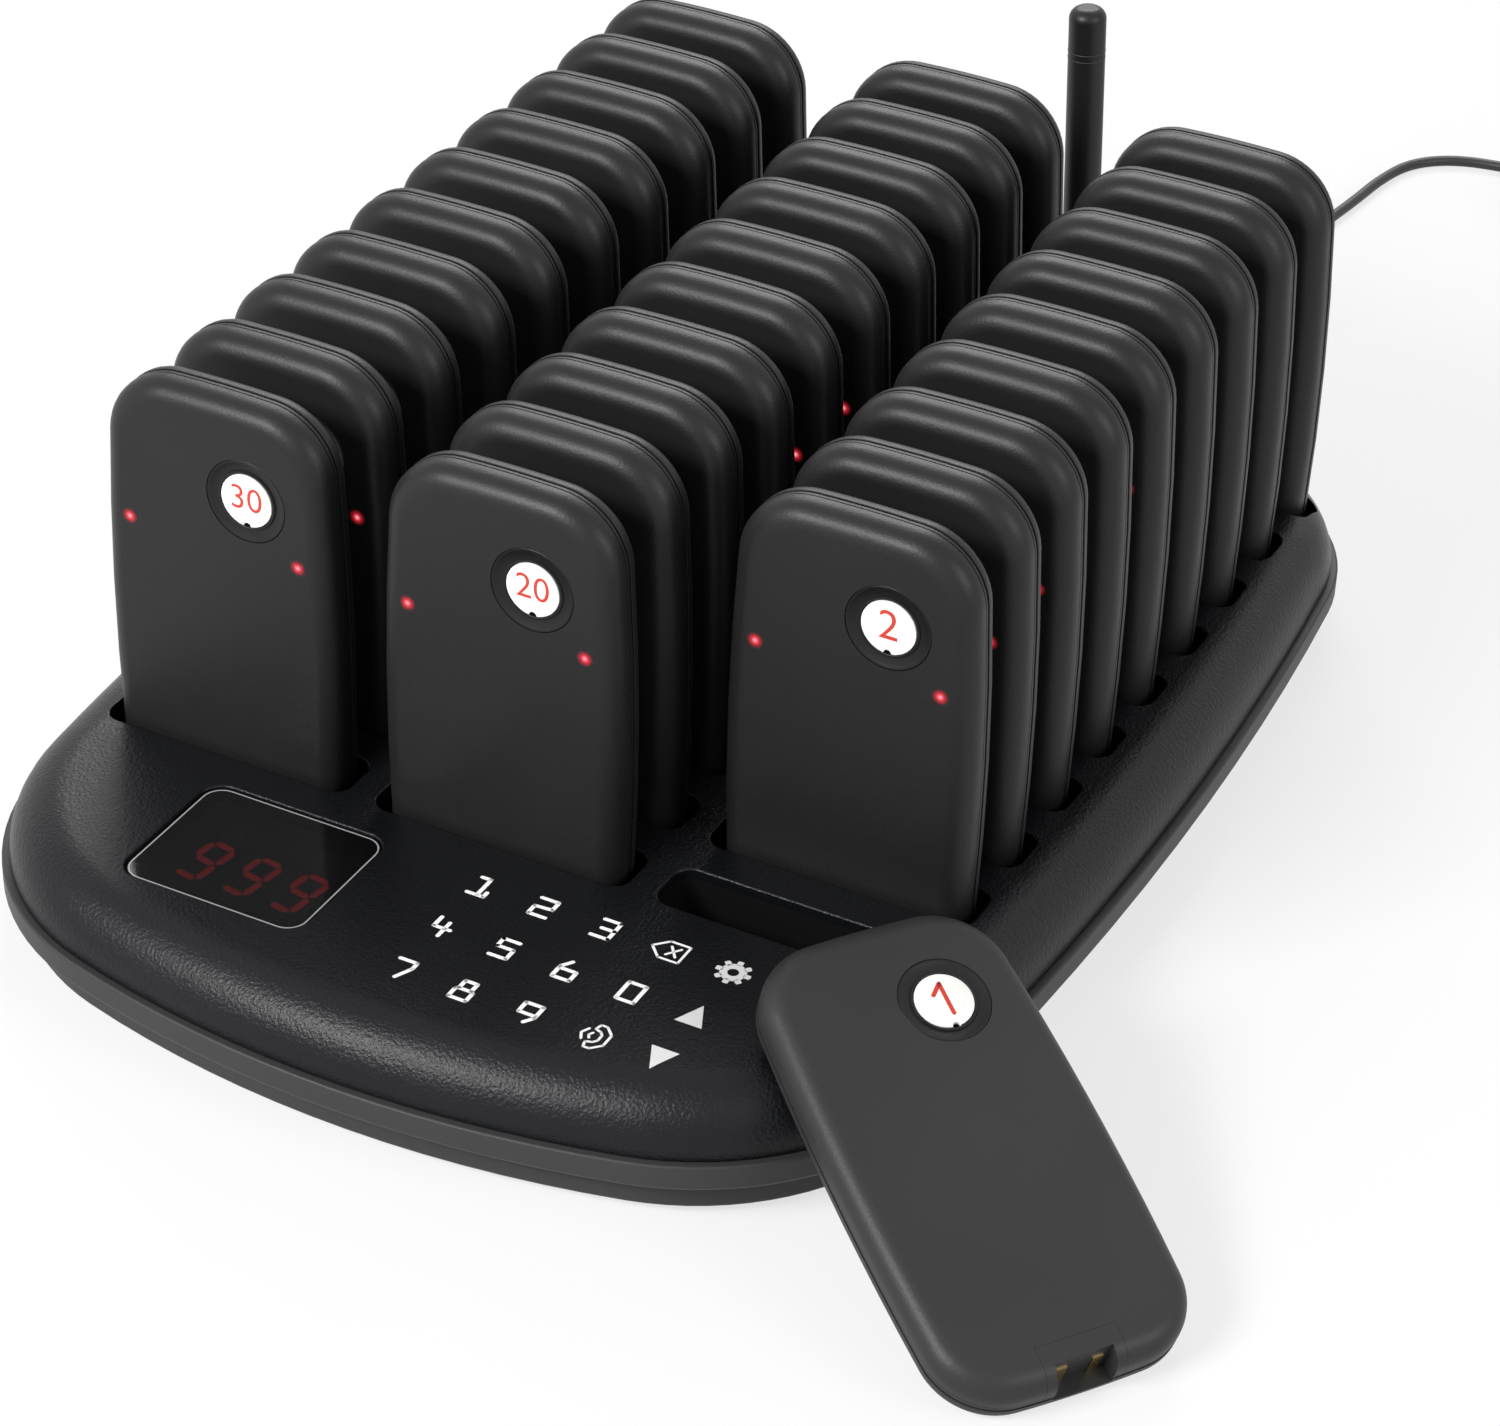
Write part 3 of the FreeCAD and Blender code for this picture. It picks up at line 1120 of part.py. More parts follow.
def make_cord():
    stations = coil_stations()
    across = size("cord_across")
    coil_start, start_way = stations[0]
    coil_end, end_way = stations[-1]
    run_end = coil_start - start_way * across
    plug_end = number(f"{PORT_FACE} + flange_thick + plug_length + relief_length")
    exit_point = Vector(size("jack_place"), plug_end, size("socket_height"))
    points = [exit_point, exit_point + BACK * 17] + [Vector(*point) for point in CORD_POINTS] + [run_end]
    edges, radii = run_edges(points)
    print("cord radii:", ", ".join(f"{radius:.0f}" for radius in radii))
    run, run_path = tube("cable_run_tube", edges)
    keep(run, "cable_run")

    turns = [Part.makeLine(run_end, coil_start)]
    for (start, way), (end, next_way) in zip(stations, stations[1:]):
        turns += biarc_edges(start, way, end, next_way)
    far_end = coil_end + end_way * size("lead_out")
    turns.append(Part.makeLine(coil_end, far_end))
    coil, coil_path = tube("cable_coil_tube", turns)
    print(f"coil: least gap {least_gap(coil_path):.2f}, whole lead {run_path.Length + coil_path.Length:.0f}")
    keep(coil, "cable_coil")
    return far_end


def make_cable_tie():
    reach = "coil_radius + coil_step + cord_across / 2 + tie_gap + coil_step / 4"
    inner = "coil_radius - coil_step - cord_across / 2 - tie_gap - coil_step / 4"
    low = "coil_level - cord_across / 2 - tie_gap"
    tall = f"{len(COIL_LAYERS) - 1} * coil_rise + cord_across + 2 * tie_gap"
    x, y = COIL_MIDDLE.x, COIL_MIDDLE.y
    hole = box("tie_hole", ("2 * tie_wide", f"{reach} - ({inner})", tall),
               (f"{x} - tie_wide", f"{y} - ({reach})", low))
    band = box("tie_band", ("tie_wide", f"{reach} - ({inner}) + 2 * tie_thick", f"{tall} + 2 * tie_thick"),
               (f"{x} - tie_wide / 2", f"{y} - ({reach}) - tie_thick", f"{low} - tie_thick"))
    head = box("tie_head", ("tie_wide + 2", "tie_wide", "tie_wide + 1"),
               (f"{x} - tie_wide / 2 - 1", f"{y} - ({reach}) - tie_wide", f"{low} + tie_wide"))
    return keep(cut("tie_cut", fuse("tie_form", band, head), hole), "cable_tie")


def make_power_adapter(far_end):
    x, y, z = far_end
    start = f"{x} + relief_length"
    block = slab_body("adapter_block", ("adapter_long", "adapter_wide"),
                      (f"{start} + adapter_long / 2", str(y)), "adapter_round", "0", "adapter_high")
    round_level(block, "adapter_top", "adapter_high", "adapter_round / 2")
    relief = cone("adapter_relief", "cord_across + 2 * relief_wall", "relief_across",
                  "relief_length + adapter_round", (str(x), str(y), str(z)), RIGHT)
    blades = [centred_box(f"blade_{side + 1}", ("blade_thick", "blade_wide", "blade_long + 1"),
                          (f"{start} + adapter_long - blade_back", f"{y} + {side} * blade_pitch / 2",
                           "adapter_high - 1")) for side in (-1, 1)]
    return keep(fuse("power_adapter_whole", block, relief, *blades), "power_adapter")


def write_parts():
    """Check every object, then write one file for each sub-part."""
    doc.recompute()
    for thing in doc.Objects:
        if "Invalid" in thing.State or "Error" in thing.State:
            raise RuntimeError(f"{thing.Name} failed: {thing.State}")
    for label, thing in PARTS.items():
        if thing.Shape.isNull() or not thing.Shape.isValid():
            raise RuntimeError(f"{label} has no valid shape")
    os.makedirs("parts", exist_ok=True)
    for label, thing in PARTS.items():
        thing.Shape.exportStep(f"parts/{label}.step")
        print(f"{label}: {len(thing.Shape.Solids)} solids, {thing.Shape.Volume:.0f} mm3")


def make_pagers():
    front, rear = make_pager_forms()
    form = fuse("pager_form", front, rear)
    face, back = make_shells(front, rear)
    pieces = {"front_shell": face, "rear_shell": back, "label_ring": make_ring(), "number_disc": make_disc(),
              "contact_block": make_block(form), "contact_strips": make_strips(),
              "circuit_board": make_pager_board(), "battery": make_battery(), "motor": make_motor()}
    lean_pager(pieces, form)
    stand_pagers(make_whole_pager(form))


def make_dock():
    make_top_cover()
    make_bottom_case()
    space = make_inner_space()
    make_display_window()
    make_display_module()
    make_touch_board(space)
    make_main_board(space)
    for column, label in enumerate(("rack_left", "rack_middle", "rack_right")):
        make_rack(column, label, space)
    make_charge_boards()
    make_charge_pins()
    make_rubber_feet()
    make_case_screws()
    make_dc_jack()
    make_antenna_socket()
    make_antenna_knuckle()
    make_antenna_whip()


make_dock()
make_dc_plug()
make_power_adapter(make_cord())
make_cable_tie()
make_pagers()
write_parts()
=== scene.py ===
"""Guest pager system: a charging dock with thirty pagers, an antenna and a power lead.

Lengths are in metres: X to the right, Y to the back, Z up, from the table under the dock's middle.
"""
import math

import bmesh
import bpy
from bpy.props import FloatProperty, FloatVectorProperty, PointerProperty
from mathutils import Matrix, Vector
from mathutils.bvhtree import BVHTree


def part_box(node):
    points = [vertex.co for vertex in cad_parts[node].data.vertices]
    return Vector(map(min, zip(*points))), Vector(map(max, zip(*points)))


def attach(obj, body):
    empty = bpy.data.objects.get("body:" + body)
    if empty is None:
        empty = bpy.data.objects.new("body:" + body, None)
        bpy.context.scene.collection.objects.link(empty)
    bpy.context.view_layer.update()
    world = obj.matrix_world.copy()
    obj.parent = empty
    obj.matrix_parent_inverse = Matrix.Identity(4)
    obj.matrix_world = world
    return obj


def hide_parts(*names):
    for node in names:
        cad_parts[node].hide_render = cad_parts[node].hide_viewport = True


bl_info = {
    "name": "Guest Pager System",
    "version": (1, 0, 0),
    "blender": (4, 5, 0),
    "location": "View3D > Sidebar > Pagers",
    "description": "A charging dock with thirty pagers, an antenna and a power lead",
    "category": "Add Mesh",
}

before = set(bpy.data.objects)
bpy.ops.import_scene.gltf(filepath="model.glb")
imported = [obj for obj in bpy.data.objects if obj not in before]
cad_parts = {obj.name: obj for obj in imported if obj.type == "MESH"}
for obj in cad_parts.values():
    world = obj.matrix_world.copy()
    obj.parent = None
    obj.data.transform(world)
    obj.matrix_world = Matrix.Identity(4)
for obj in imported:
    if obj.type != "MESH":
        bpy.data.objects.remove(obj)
bpy.context.view_layer.update()

WELD = 2e-6
NEAR = 1e-6
ARC_STEP = math.radians(7)
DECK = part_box("top_cover")[1].z
COLUMNS = 3
ROWS = 10
LEGEND_DEEP = 0.00004
FLOOR_DROP = 0.0002
CAMERA_PLACE = (0.3829, -0.7434, 0.5728)
CAMERA_ANGLES = (26.614, 34.101, 1.827)
CAMERA_LENS = 104.465
ANTENNA_HINGE = (0.011, 0.1823, 0.0174)
ANTENNA_LEAN = math.radians(-2.5)
WHIP_RADIUS = 0.0047
TIP_RING_LEVELS = (0.0829, 0.0847)
HOUSING_SIDES = (0.033, 0.0194)


# Sizes and colours that a user would change

def length(name, description, default):
    return FloatProperty(name=name, description=description, default=default, unit="LENGTH")


def place_in_plan(name, description, default):
    return FloatVectorProperty(name=name, description=description, default=default, size=2, unit="LENGTH")


def angle(name, description, degrees):
    return FloatProperty(name=name, description=description, default=math.radians(degrees), subtype="ANGLE")


def colour(name, description, default):
    return FloatVectorProperty(name=name, description=description, default=default, subtype="COLOR")


class PagerSizes(bpy.types.PropertyGroup):
    """One guest pager."""
    width: length("Width", "Across, at its widest", 0.0578)
    length: length("Length", "Foot to top", 0.106)
    thickness: length("Thickness", "Back to face", 0.0115)
    end_arc: length("End arc", "Radius of foot and top", 0.3)
    side_arc: length("Side arc", "Radius of the sides", 0.655)
    side_middle: length("Widest place", "Widest place above the middle", -0.008)
    foot_corner: length("Foot corners", "Radius of the foot's corners", 0.015)
    top_corner: length("Top corners", "Radius of the top's corners", 0.016)
    face_round: length("Face edge", "Edge radius of the face", 0.005)
    back_round: length("Back edge", "Edge radius of the back", 0.003)
    front_deep: length("Front shell", "Depth of the front shell", 0.0062)
    strip_deep: length("Seam strip", "Strip in the seam", 0.0008)
    groove: length("Seam groove", "Grooves beside the strip", 0.00035)
    ring_across: length("Number ring", "Diameter of the number ring", 0.0194)
    disc_across: length("Number disc", "Diameter of the white disc", 0.0124)
    disc_side: length("Disc to the side", "Disc right of the middle", 0.0087)
    disc_drop: length("Disc below the top", "Disc below the pager's top", 0.022)
    number_high: length("Number", "Type size of the number", 0.0083)
    light_side: length("Lights apart", "Lights beside the middle", 0.0211)
    light_up: length("Lights up", "Lights above the foot", 0.0715)
    light_across: length("Light", "Diameter of a light's glow", 0.0044)


class DockSizes(bpy.types.PropertyGroup):
    """What the dock carries."""
    column_pitch: length("Columns", "Slot columns, centre to centre", 0.06905)
    row_pitch: length("Rows", "Slot rows, centre to centre", 0.02353)
    first_row: length("First row", "Middle of the front row", -0.09145)
    seat: length("Pager seat", "Table to a pager's foot", 0.0124)
    lip: length("Rims", "Edge radius of slots and window seat", 0.0005)
    window_corner: length("Window corners", "Corner radius of the window", 0.005)
    digit_wide: length("Digit across", "A display digit", 0.0072)
    digit_tall: length("Digit height", "A display digit", 0.014)
    digit_pitch: length("Digits apart", "Display digits, centre to centre", 0.01175)
    digit_middle: place_in_plan("Display", "Middle of the display in plan", (-0.0401, -0.1305))
    segment: length("Segment", "Width of a segment", 0.0015)
    digit_slant: angle("Slant", "Lean of the digits", 9)
    first_key: place_in_plan("First key", "Middle of the first key in plan", (0.00516, -0.1122))
    key_pitch: place_in_plan("Keys apart", "Keys across and back to front", (0.01488, 0.01613))
    key_tall: length("Legend", "Height of a key's legend", 0.0069)
    key_stroke: length("Stroke", "Stroke of a key's legend", 0.00095)


class LeadSizes(bpy.types.PropertyGroup):
    """The power lead and the loose pager's lean."""
    across: length("Lead", "Diameter of the lead", 0.003)
    length: length("Length", "Whole length of the lead", 1.2)
    coil_radius: length("Coil", "First turn of the coil", 0.0211)
    coil_step: length("Turns apart", "Coil turns, centre to centre", 0.0036)
    coil_rise: length("Layers apart", "Coil layers, centre to centre", 0.00362)
    lean_heading: angle("Heading", "Loose pager, turned in plan", 54)
    lean_tilt: angle("Tilt", "Loose pager's rise", 21.3)


class Finishes(bpy.types.PropertyGroup):
    """Colours of the finishes."""
    cover: colour("Deck", "Upper half of the dock", (0.0032, 0.0035, 0.0046))
    band: colour("Band", "Lower half of the dock", (0.027, 0.027, 0.028))
    pager: colour("Pagers", "Shells of the pagers", (0.0105, 0.0105, 0.0108))
    ring: colour("Number ring", "Ring around a number", (0.006, 0.006, 0.0062))
    disc: colour("Number disc", "Disc under a number", (0.88, 0.87, 0.84))
    ink: colour("Number", "Printed number", (0.52, 0.045, 0.03))
    legend: colour("Legends", "Printed key legends", (0.9, 0.9, 0.9))
    glow: colour("Lights", "Pager lights", (1.0, 0.03, 0.06))
    segments: colour("Display", "Lit segments", (1.0, 0.03, 0.03))


GROUPS = {"pager_sizes": PagerSizes, "dock_sizes": DockSizes, "lead_sizes": LeadSizes,
          "pager_finishes": Finishes}


# Finishes

class Wire:
    """A socket of a material's nodes; sums on it add Math nodes."""

    def __init__(self, tree, socket=None):
        self.tree = tree
        self.socket = socket

    def node(self, kind, settings=None, sockets=None, output=0):
        """Add a node: its settings first, then its sockets' values or wires."""
        made = self.tree.nodes.new("ShaderNode" + kind)
        for name, value in (settings or {}).items():
            if name == "stops":
                fill_ramp(made.color_ramp, value)
            else:
                setattr(made, name, value)
        for name, value in (sockets or {}).items():
            if isinstance(value, Wire):
                self.tree.links.new(value.socket, made.inputs[name])
            else:
                made.inputs[name].default_value = value
        return Wire(self.tree, made.outputs[output])

    def maths(self, operation, first, second, clamp=False):
        settings = {"operation": operation, "use_clamp": clamp}
        return self.node("Math", settings, {0: first, 1: second})

    def __add__(self, other):
        return self.maths("ADD", self, other)

    def __radd__(self, other):
        return self.maths("ADD", other, self)

    def __sub__(self, other):
        return self.maths("SUBTRACT", self, other)

    def __rsub__(self, other):
        return self.maths("SUBTRACT", other, self)

    def __mul__(self, other):
        return self.maths("MULTIPLY", self, other)

    def __rmul__(self, other):
        return self.maths("MULTIPLY", other, self)

    def __pow__(self, other):
        return self.maths("POWER", self, other)

    def mixed(self, dark, light):
        """From one colour to another by this value."""
        colours = {0: self, 6: (*dark, 1), 7: (*light, 1)}
        return self.node("Mix", {"data_type": "RGBA"}, colours, 2)

    def noise(self, place, grain, detail=2.0):
        sockets = {"Vector": place, "Scale": 1 / grain, "Detail": detail}
        return self.node("TexNoise", None, sockets, "Fac")

    def cells(self, place, grain):
        sockets = {"Vector": place, "Scale": 1 / grain}
        return self.node("TexVoronoi", {"feature": "SMOOTH_F1"}, sockets, "Distance")


def fill_ramp(ramp, stops):
    """Set a colour ramp's stops from pairs of place and colour."""
    while len(ramp.elements) < len(stops):
        ramp.elements.new(0.5)
    for element, (place, colour) in zip(ramp.elements, stops):
        element.position = place
        element.color = (*colour, 1)


def new_finish(name):
    """An empty material and the wire that its nodes start from."""
    material = bpy.data.materials.new(name)
    material.use_nodes = True
    material.node_tree.nodes.clear()
    return material, Wire(material.node_tree)


def close_finish(wire, shader):
    """Lead the last shader to the material's output."""
    out = wire.tree.nodes.new("ShaderNodeOutputMaterial")
    wire.tree.links.new(shader.socket, out.inputs["Surface"])


def moulded(name, colour, roughness, grain=0.0006, relief=0.00002, spread=0.1, lift=1.35,
            specular=0.5):
    """Moulded plastic or rubber: a pebbled grain in relief and gloss, faint clouds in the colour."""
    material, wire = new_finish(name)
    place = wire.node("TexCoord", output="Object")
    pebbles = wire.cells(place, grain)
    dust = wire.noise(place, grain * 0.4)
    cloud = wire.noise(place, 0.03, 3.0)
    height = pebbles * 0.7 + dust * 0.5
    bump = wire.node("Bump", None, {"Height": height, "Strength": 1.0, "Distance": relief})
    rough = cloud * spread + dust * spread + (roughness - spread)
    light = tuple(min(1.0, part * lift) for part in colour)
    sockets = {"Base Color": cloud.mixed(colour, light), "Roughness": rough, "Normal": bump,
               "Specular IOR Level": specular}
    close_finish(wire, wire.node("BsdfPrincipled", None, sockets))
    return material


def metal(name, colour, roughness, grain=0.0004):
    """Plated metal with fine scratches along one way and small stains."""
    material, wire = new_finish(name)
    place = wire.node("TexCoord", output="Object")
    stretched = wire.node("Mapping", None, {"Vector": place, "Scale": (1, 1, 0.08)})
    scratches = wire.noise(stretched, grain, 3.0)
    stain = wire.noise(place, 0.006, 3.0)
    bump = wire.node("Bump", None, {"Height": scratches, "Strength": 0.6, "Distance": 0.00001})
    dark = tuple(part * 0.8 for part in colour)
    sockets = {"Base Color": stain.mixed(dark, colour), "Metallic": 1.0, "Normal": bump,
               "Roughness": scratches * 0.2 + (roughness - 0.1)}
    close_finish(wire, wire.node("BsdfPrincipled", None, sockets))
    return material


def board_green(name):
    """Solder mask over copper tracks."""
    material, wire = new_finish(name)
    place = wire.node("TexCoord", output="Object")
    tracks = wire.node("TexBrick", {"offset": 0.37},
                       {"Vector": place, "Scale": 160.0, "Mortar Size": 0.03}, "Fac")
    grain = wire.noise(place, 0.0008)
    colour = tracks.mixed((0.006, 0.07, 0.03), (0.02, 0.16, 0.07))
    bump = wire.node("Bump", None, {"Height": tracks, "Strength": 0.5, "Distance": 0.00003})
    sockets = {"Base Color": colour, "Roughness": grain * 0.2 + 0.25, "Normal": bump}
    close_finish(wire, wire.node("BsdfPrincipled", None, sockets))
    return material


def foil(name):
    """Crinkled battery foil."""
    material, wire = new_finish(name)
    place = wire.node("TexCoord", output="Object")
    creases = wire.noise(place, 0.004, 4.0)
    bump = wire.node("Bump", None, {"Height": creases, "Strength": 0.8, "Distance": 0.0002})
    sockets = {"Base Color": creases.mixed((0.5, 0.5, 0.52), (0.8, 0.8, 0.82)), "Metallic": 1.0,
               "Roughness": creases * 0.2 + 0.2, "Normal": bump}
    close_finish(wire, wire.node("BsdfPrincipled", None, sockets))
    return material


def smoked_lens(name):
    """Dark polished acrylic that lets a little of the display through."""
    material, wire = new_finish(name)
    place = wire.node("TexCoord", output="Object")
    smears = wire.noise(place, 0.012, 3.0)
    bump = wire.node("Bump", None, {"Height": smears, "Strength": 0.2, "Distance": 0.00002})
    sockets = {"Base Color": smears.mixed((0.004, 0.004, 0.0045), (0.007, 0.006, 0.007)),
               "Roughness": smears * 0.12 + 0.06, "Normal": bump, "Alpha": 0.72,
               "Specular IOR Level": 0.4}
    close_finish(wire, wire.node("BsdfPrincipled", None, sockets))
    return material


def glowing(name, colour, strength, softness=None):
    """A red light; with a softness it fades from its middle to nothing at its rim."""
    material, wire = new_finish(name)
    place = wire.node("TexCoord", output="Object")
    flicker = wire.noise(place, 0.0011)
    sockets = {"Base Color": flicker.mixed(tuple(part * 0.3 for part in colour), colour),
               "Roughness": flicker * 0.2 + 0.3, "Emission Strength": strength}
    if softness is None:
        sockets["Emission Color"] = flicker.mixed(tuple(part * 0.75 for part in colour), colour)
    else:
        glow = wire.node("Attribute", {"attribute_name": "glow"}, None, "Fac")
        heat = [(0.0, colour), (0.6, colour), (0.85, (1.0, 0.25, 0.3)), (1.0, (1.0, 0.5, 0.5))]
        sockets["Emission Color"] = wire.node("ValToRGB", {"stops": heat}, {"Fac": glow})
        sockets["Alpha"] = glow ** softness
    close_finish(wire, wire.node("BsdfPrincipled", None, sockets))
    return material


def make_finishes(colours):
    """Every finish of the object, by the name of what wears it."""
    return {
        "deck": moulded("Deck plastic", colours.cover, 0.33, 0.0007, 0.00016, 0.1, 1.5, 0.24),
        "band": moulded("Band plastic", colours.band, 0.5, 0.0006, 0.00006, 0.1, 1.3, 0.3),
        "shell": moulded("Pager plastic", colours.pager, 0.42, 0.0006, 0.00004, 0.08, 1.4, 0.25),
        # Pager plastic made 2.1 times lighter for the loose pager: painted light, for the lamps that fall on
        # its upturned face.
        "lit_loose_shell": moulded("Loose pager plastic painted lighter", tuple(2.1 * part for part in colours.pager), 0.45,
                               0.0006, 0.00004, 0.08, 1.3, 0.25),
        "ring": moulded("Ring plastic", colours.ring, 0.42, 0.0005, 0.00005, 0.1, 1.3, 0.25),
        "disc": moulded("Disc plastic", colours.disc, 0.4, 0.0004, 0.000004, 0.05, 1.04, 0.3),
        "ink": moulded("Number ink", colours.ink, 0.5, 0.0003, 0.000004, 0.05, 1.2, 0.3),
        "legend": moulded("Legend ink", colours.legend, 0.5, 0.0004, 0.000004, 0.05, 1.05, 0.3),
        "legend_grey": moulded("Grey legend ink", (0.62, 0.62, 0.62), 0.5, 0.0004, 0.000004, 0.05),
        "rack": moulded("Slot plastic", (0.004, 0.004, 0.0042), 0.5, 0.0007, 0.00003, 0.1, 1.3, 0.15),
        "antenna": moulded("Antenna plastic", (0.008, 0.008, 0.0082), 0.42, 0.0006, 0.00003, 0.1, 1.3, 0.3),
        "rubber": moulded("Foot rubber", (0.018, 0.018, 0.018), 0.75, 0.0005, 0.00004),
        "lead": moulded("Lead sheath", (0.012, 0.012, 0.012), 0.45, 0.0008, 0.00002),
        "tie": moulded("Tie nylon", (0.02, 0.02, 0.02), 0.4, 0.0007, 0.00002),
        "adapter": moulded("Adapter plastic", (0.016, 0.016, 0.017), 0.5, 0.0008, 0.00004),
        "housing": moulded("Display housing", (0.008, 0.006, 0.006), 0.6, 0.0006, 0.00002),
        "unlit": moulded("Unlit segment", (0.03, 0.012, 0.012), 0.5, 0.0005, 0.00001),
        "brass": metal("Gold plating", (0.83, 0.62, 0.27), 0.25),
        "steel": metal("Zinc plating", (0.62, 0.62, 0.64), 0.35),
        "board": board_green("Solder mask"),
        "foil": foil("Battery foil"),
        # Light grey ring on the lens: a painted highlight for the glint along the window's bevelled rim.
        "rim": moulded("Lens rim painted highlight", (0.3, 0.3, 0.31), 0.3, 0.0004, 0.00001),
        "lens": smoked_lens("Smoked lens"),
        "glow": glowing("Pager light", colours.glow, 1.3, 2.2),
        "segment": glowing("Lit segment", colours.segments, 0.75),
    }


FINISH = {}


# Shapes

def linked(name, data):
    """A new object in the scene."""
    made = bpy.data.objects.new(name, data)
    bpy.context.scene.collection.objects.link(made)
    return made


def shift_made(bm, made, height):
    """Move what an extrusion has just made up or down."""
    moved = [item for item in made["geom"] if isinstance(item, bmesh.types.BMVert)]
    bmesh.ops.translate(bm, verts=moved, vec=(0, 0, height))


def finished(name, bm, finish, body, stands_for=(), sharp=35):
    """Make a bmesh a piece that rides on a body of the frame."""
    mesh = bpy.data.meshes.new(name)
    bm.to_mesh(mesh)
    bm.free()
    for layer in ("custom_normal", "sharp_face"):
        if layer in mesh.attributes:
            mesh.attributes.remove(mesh.attributes[layer])
    mesh.shade_smooth()
    mesh.set_sharp_from_angle(angle=math.radians(sharp))
    mesh.materials.append(FINISH[finish])
    piece = linked(name, mesh)
    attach(piece, body)
    if stands_for:
        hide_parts(*stands_for)
    return piece


def weighted(piece):
    """Keep flat faces flat beside rounded edges."""
    modifier = piece.modifiers.new("Weighted normals", "WEIGHTED_NORMAL")
    modifier.keep_sharp = True
    return piece


def node_form(node):
    """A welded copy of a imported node's mesh, with its flat triangles joined."""
    bm = bmesh.new()
    bm.from_mesh(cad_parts[node].data)
    bmesh.ops.remove_doubles(bm, verts=bm.verts[:], dist=WELD)
    bmesh.ops.dissolve_limit(bm, angle_limit=math.radians(0.3), verts=bm.verts[:], edges=bm.edges[:])
    return bm


def join(target, part, place=None):
    """Add one bmesh to another."""
    if place is not None:
        bmesh.ops.transform(part, matrix=place, verts=part.verts[:])
    mesh = bpy.data.meshes.new("joining")
    part.to_mesh(mesh)
    part.free()
    target.from_mesh(mesh)
    bpy.data.meshes.remove(mesh)


def swing(bm, start, arcs):
    """Swing one point through arcs of centre and angle, and close the outline."""
    tip = bm.verts.new(start)
    for (x, y), angle in arcs:
        steps = max(4, math.ceil(abs(angle) / ARC_STEP))
        made = bmesh.ops.spin(bm, geom=[tip], cent=(x, y, start[2]), axis=(0, 0, 1), dvec=(0, 0, 0),
                              angle=angle, steps=steps, use_merge=False, use_duplicate=False)
        tip = made["geom_last"][0]
    bmesh.ops.remove_doubles(bm, verts=bm.verts[:], dist=NEAR * 5)


def raise_outline(bm, height):
    """Fill the one outline of a bmesh and raise it to a closed slab."""
    face = bmesh.ops.contextual_create(bm, geom=bm.edges[:])["faces"][0]
    made = bmesh.ops.extrude_face_region(bm, geom=[face])
    shift_made(bm, made, height)
    bmesh.ops.recalc_face_normals(bm, faces=bm.faces[:])


def round_rim(bm, level, radius, segments=5):
    """Round the edges that lie at one level."""
    edges = [edge for edge in bm.edges if all(abs(v.co.z - level) < NEAR for v in edge.verts)]
    bmesh.ops.bevel(bm, geom=edges, offset=radius, offset_type="OFFSET", affect="EDGES",
                    segments=segments, profile=0.5, material=-1, clamp_overlap=False)


def lathe(profile, place, steps=48):
    """Turn a profile of radius and height pairs about Z, then put it in place."""
    bm = bmesh.new()
    points = [bm.verts.new((radius, 0, level)) for radius, level in profile]
    edges = [bm.edges.new(pair) for pair in zip(points, points[1:])]
    bmesh.ops.spin(bm, geom=points + edges, cent=(0, 0, 0), axis=(0, 0, 1), dvec=(0, 0, 0),
                   angle=2 * math.pi, steps=steps, use_merge=True, use_duplicate=False)
    bmesh.ops.remove_doubles(bm, verts=bm.verts[:], dist=NEAR)
    bmesh.ops.recalc_face_normals(bm, faces=bm.faces[:])
    bmesh.ops.transform(bm, matrix=place, verts=bm.verts[:])
    return bm


def block(sides, corner, place, corner_segments=5, edge=0.0):
    """A slab with round upright corners and softened upper edges, standing on its base."""
    bm = bmesh.new()
    bmesh.ops.create_cube(bm, size=1.0)
    bmesh.ops.transform(bm, matrix=Matrix.Translation((0, 0, sides[2] / 2)) @ Matrix.Diagonal((*sides, 1)),
                        verts=bm.verts[:])
    if corner:
        upright = [e for e in bm.edges if abs(e.verts[0].co.z - e.verts[1].co.z) > NEAR]
        bmesh.ops.bevel(bm, geom=upright, offset=corner, offset_type="OFFSET", affect="EDGES",
                        segments=corner_segments, profile=0.5, material=-1, clamp_overlap=False)
    if edge:
        round_rim(bm, sides[2], edge, 3)
    bmesh.ops.transform(bm, matrix=place, verts=bm.verts[:])
    return bm


def placed(origin, right, up):
    """A placement from its origin and the ways of its X and Y."""
    out = right.cross(up)
    turn = Matrix((right, up, out)).transposed().to_4x4()
    return Matrix.Translation(origin) @ turn


# A pager lies on its back about its middle: X to its right, Y to its top, Z out of its face

def corner_centre(first, first_radius, second, second_radius, radius, side):
    """Centre of an arc that runs smoothly inside two larger arcs."""
    reach, other = first_radius - radius, second_radius - radius
    apart = second - first
    along = (reach ** 2 - other ** 2 + apart.length_squared) / (2 * apart.length)
    across = math.sqrt(reach ** 2 - along ** 2)
    unit = apart.normalized()
    normal = Vector((-unit.y, unit.x))
    choices = [first + unit * along + normal * across * sign for sign in (1, -1)]
    return max(choices, key=lambda point: side * point.y)


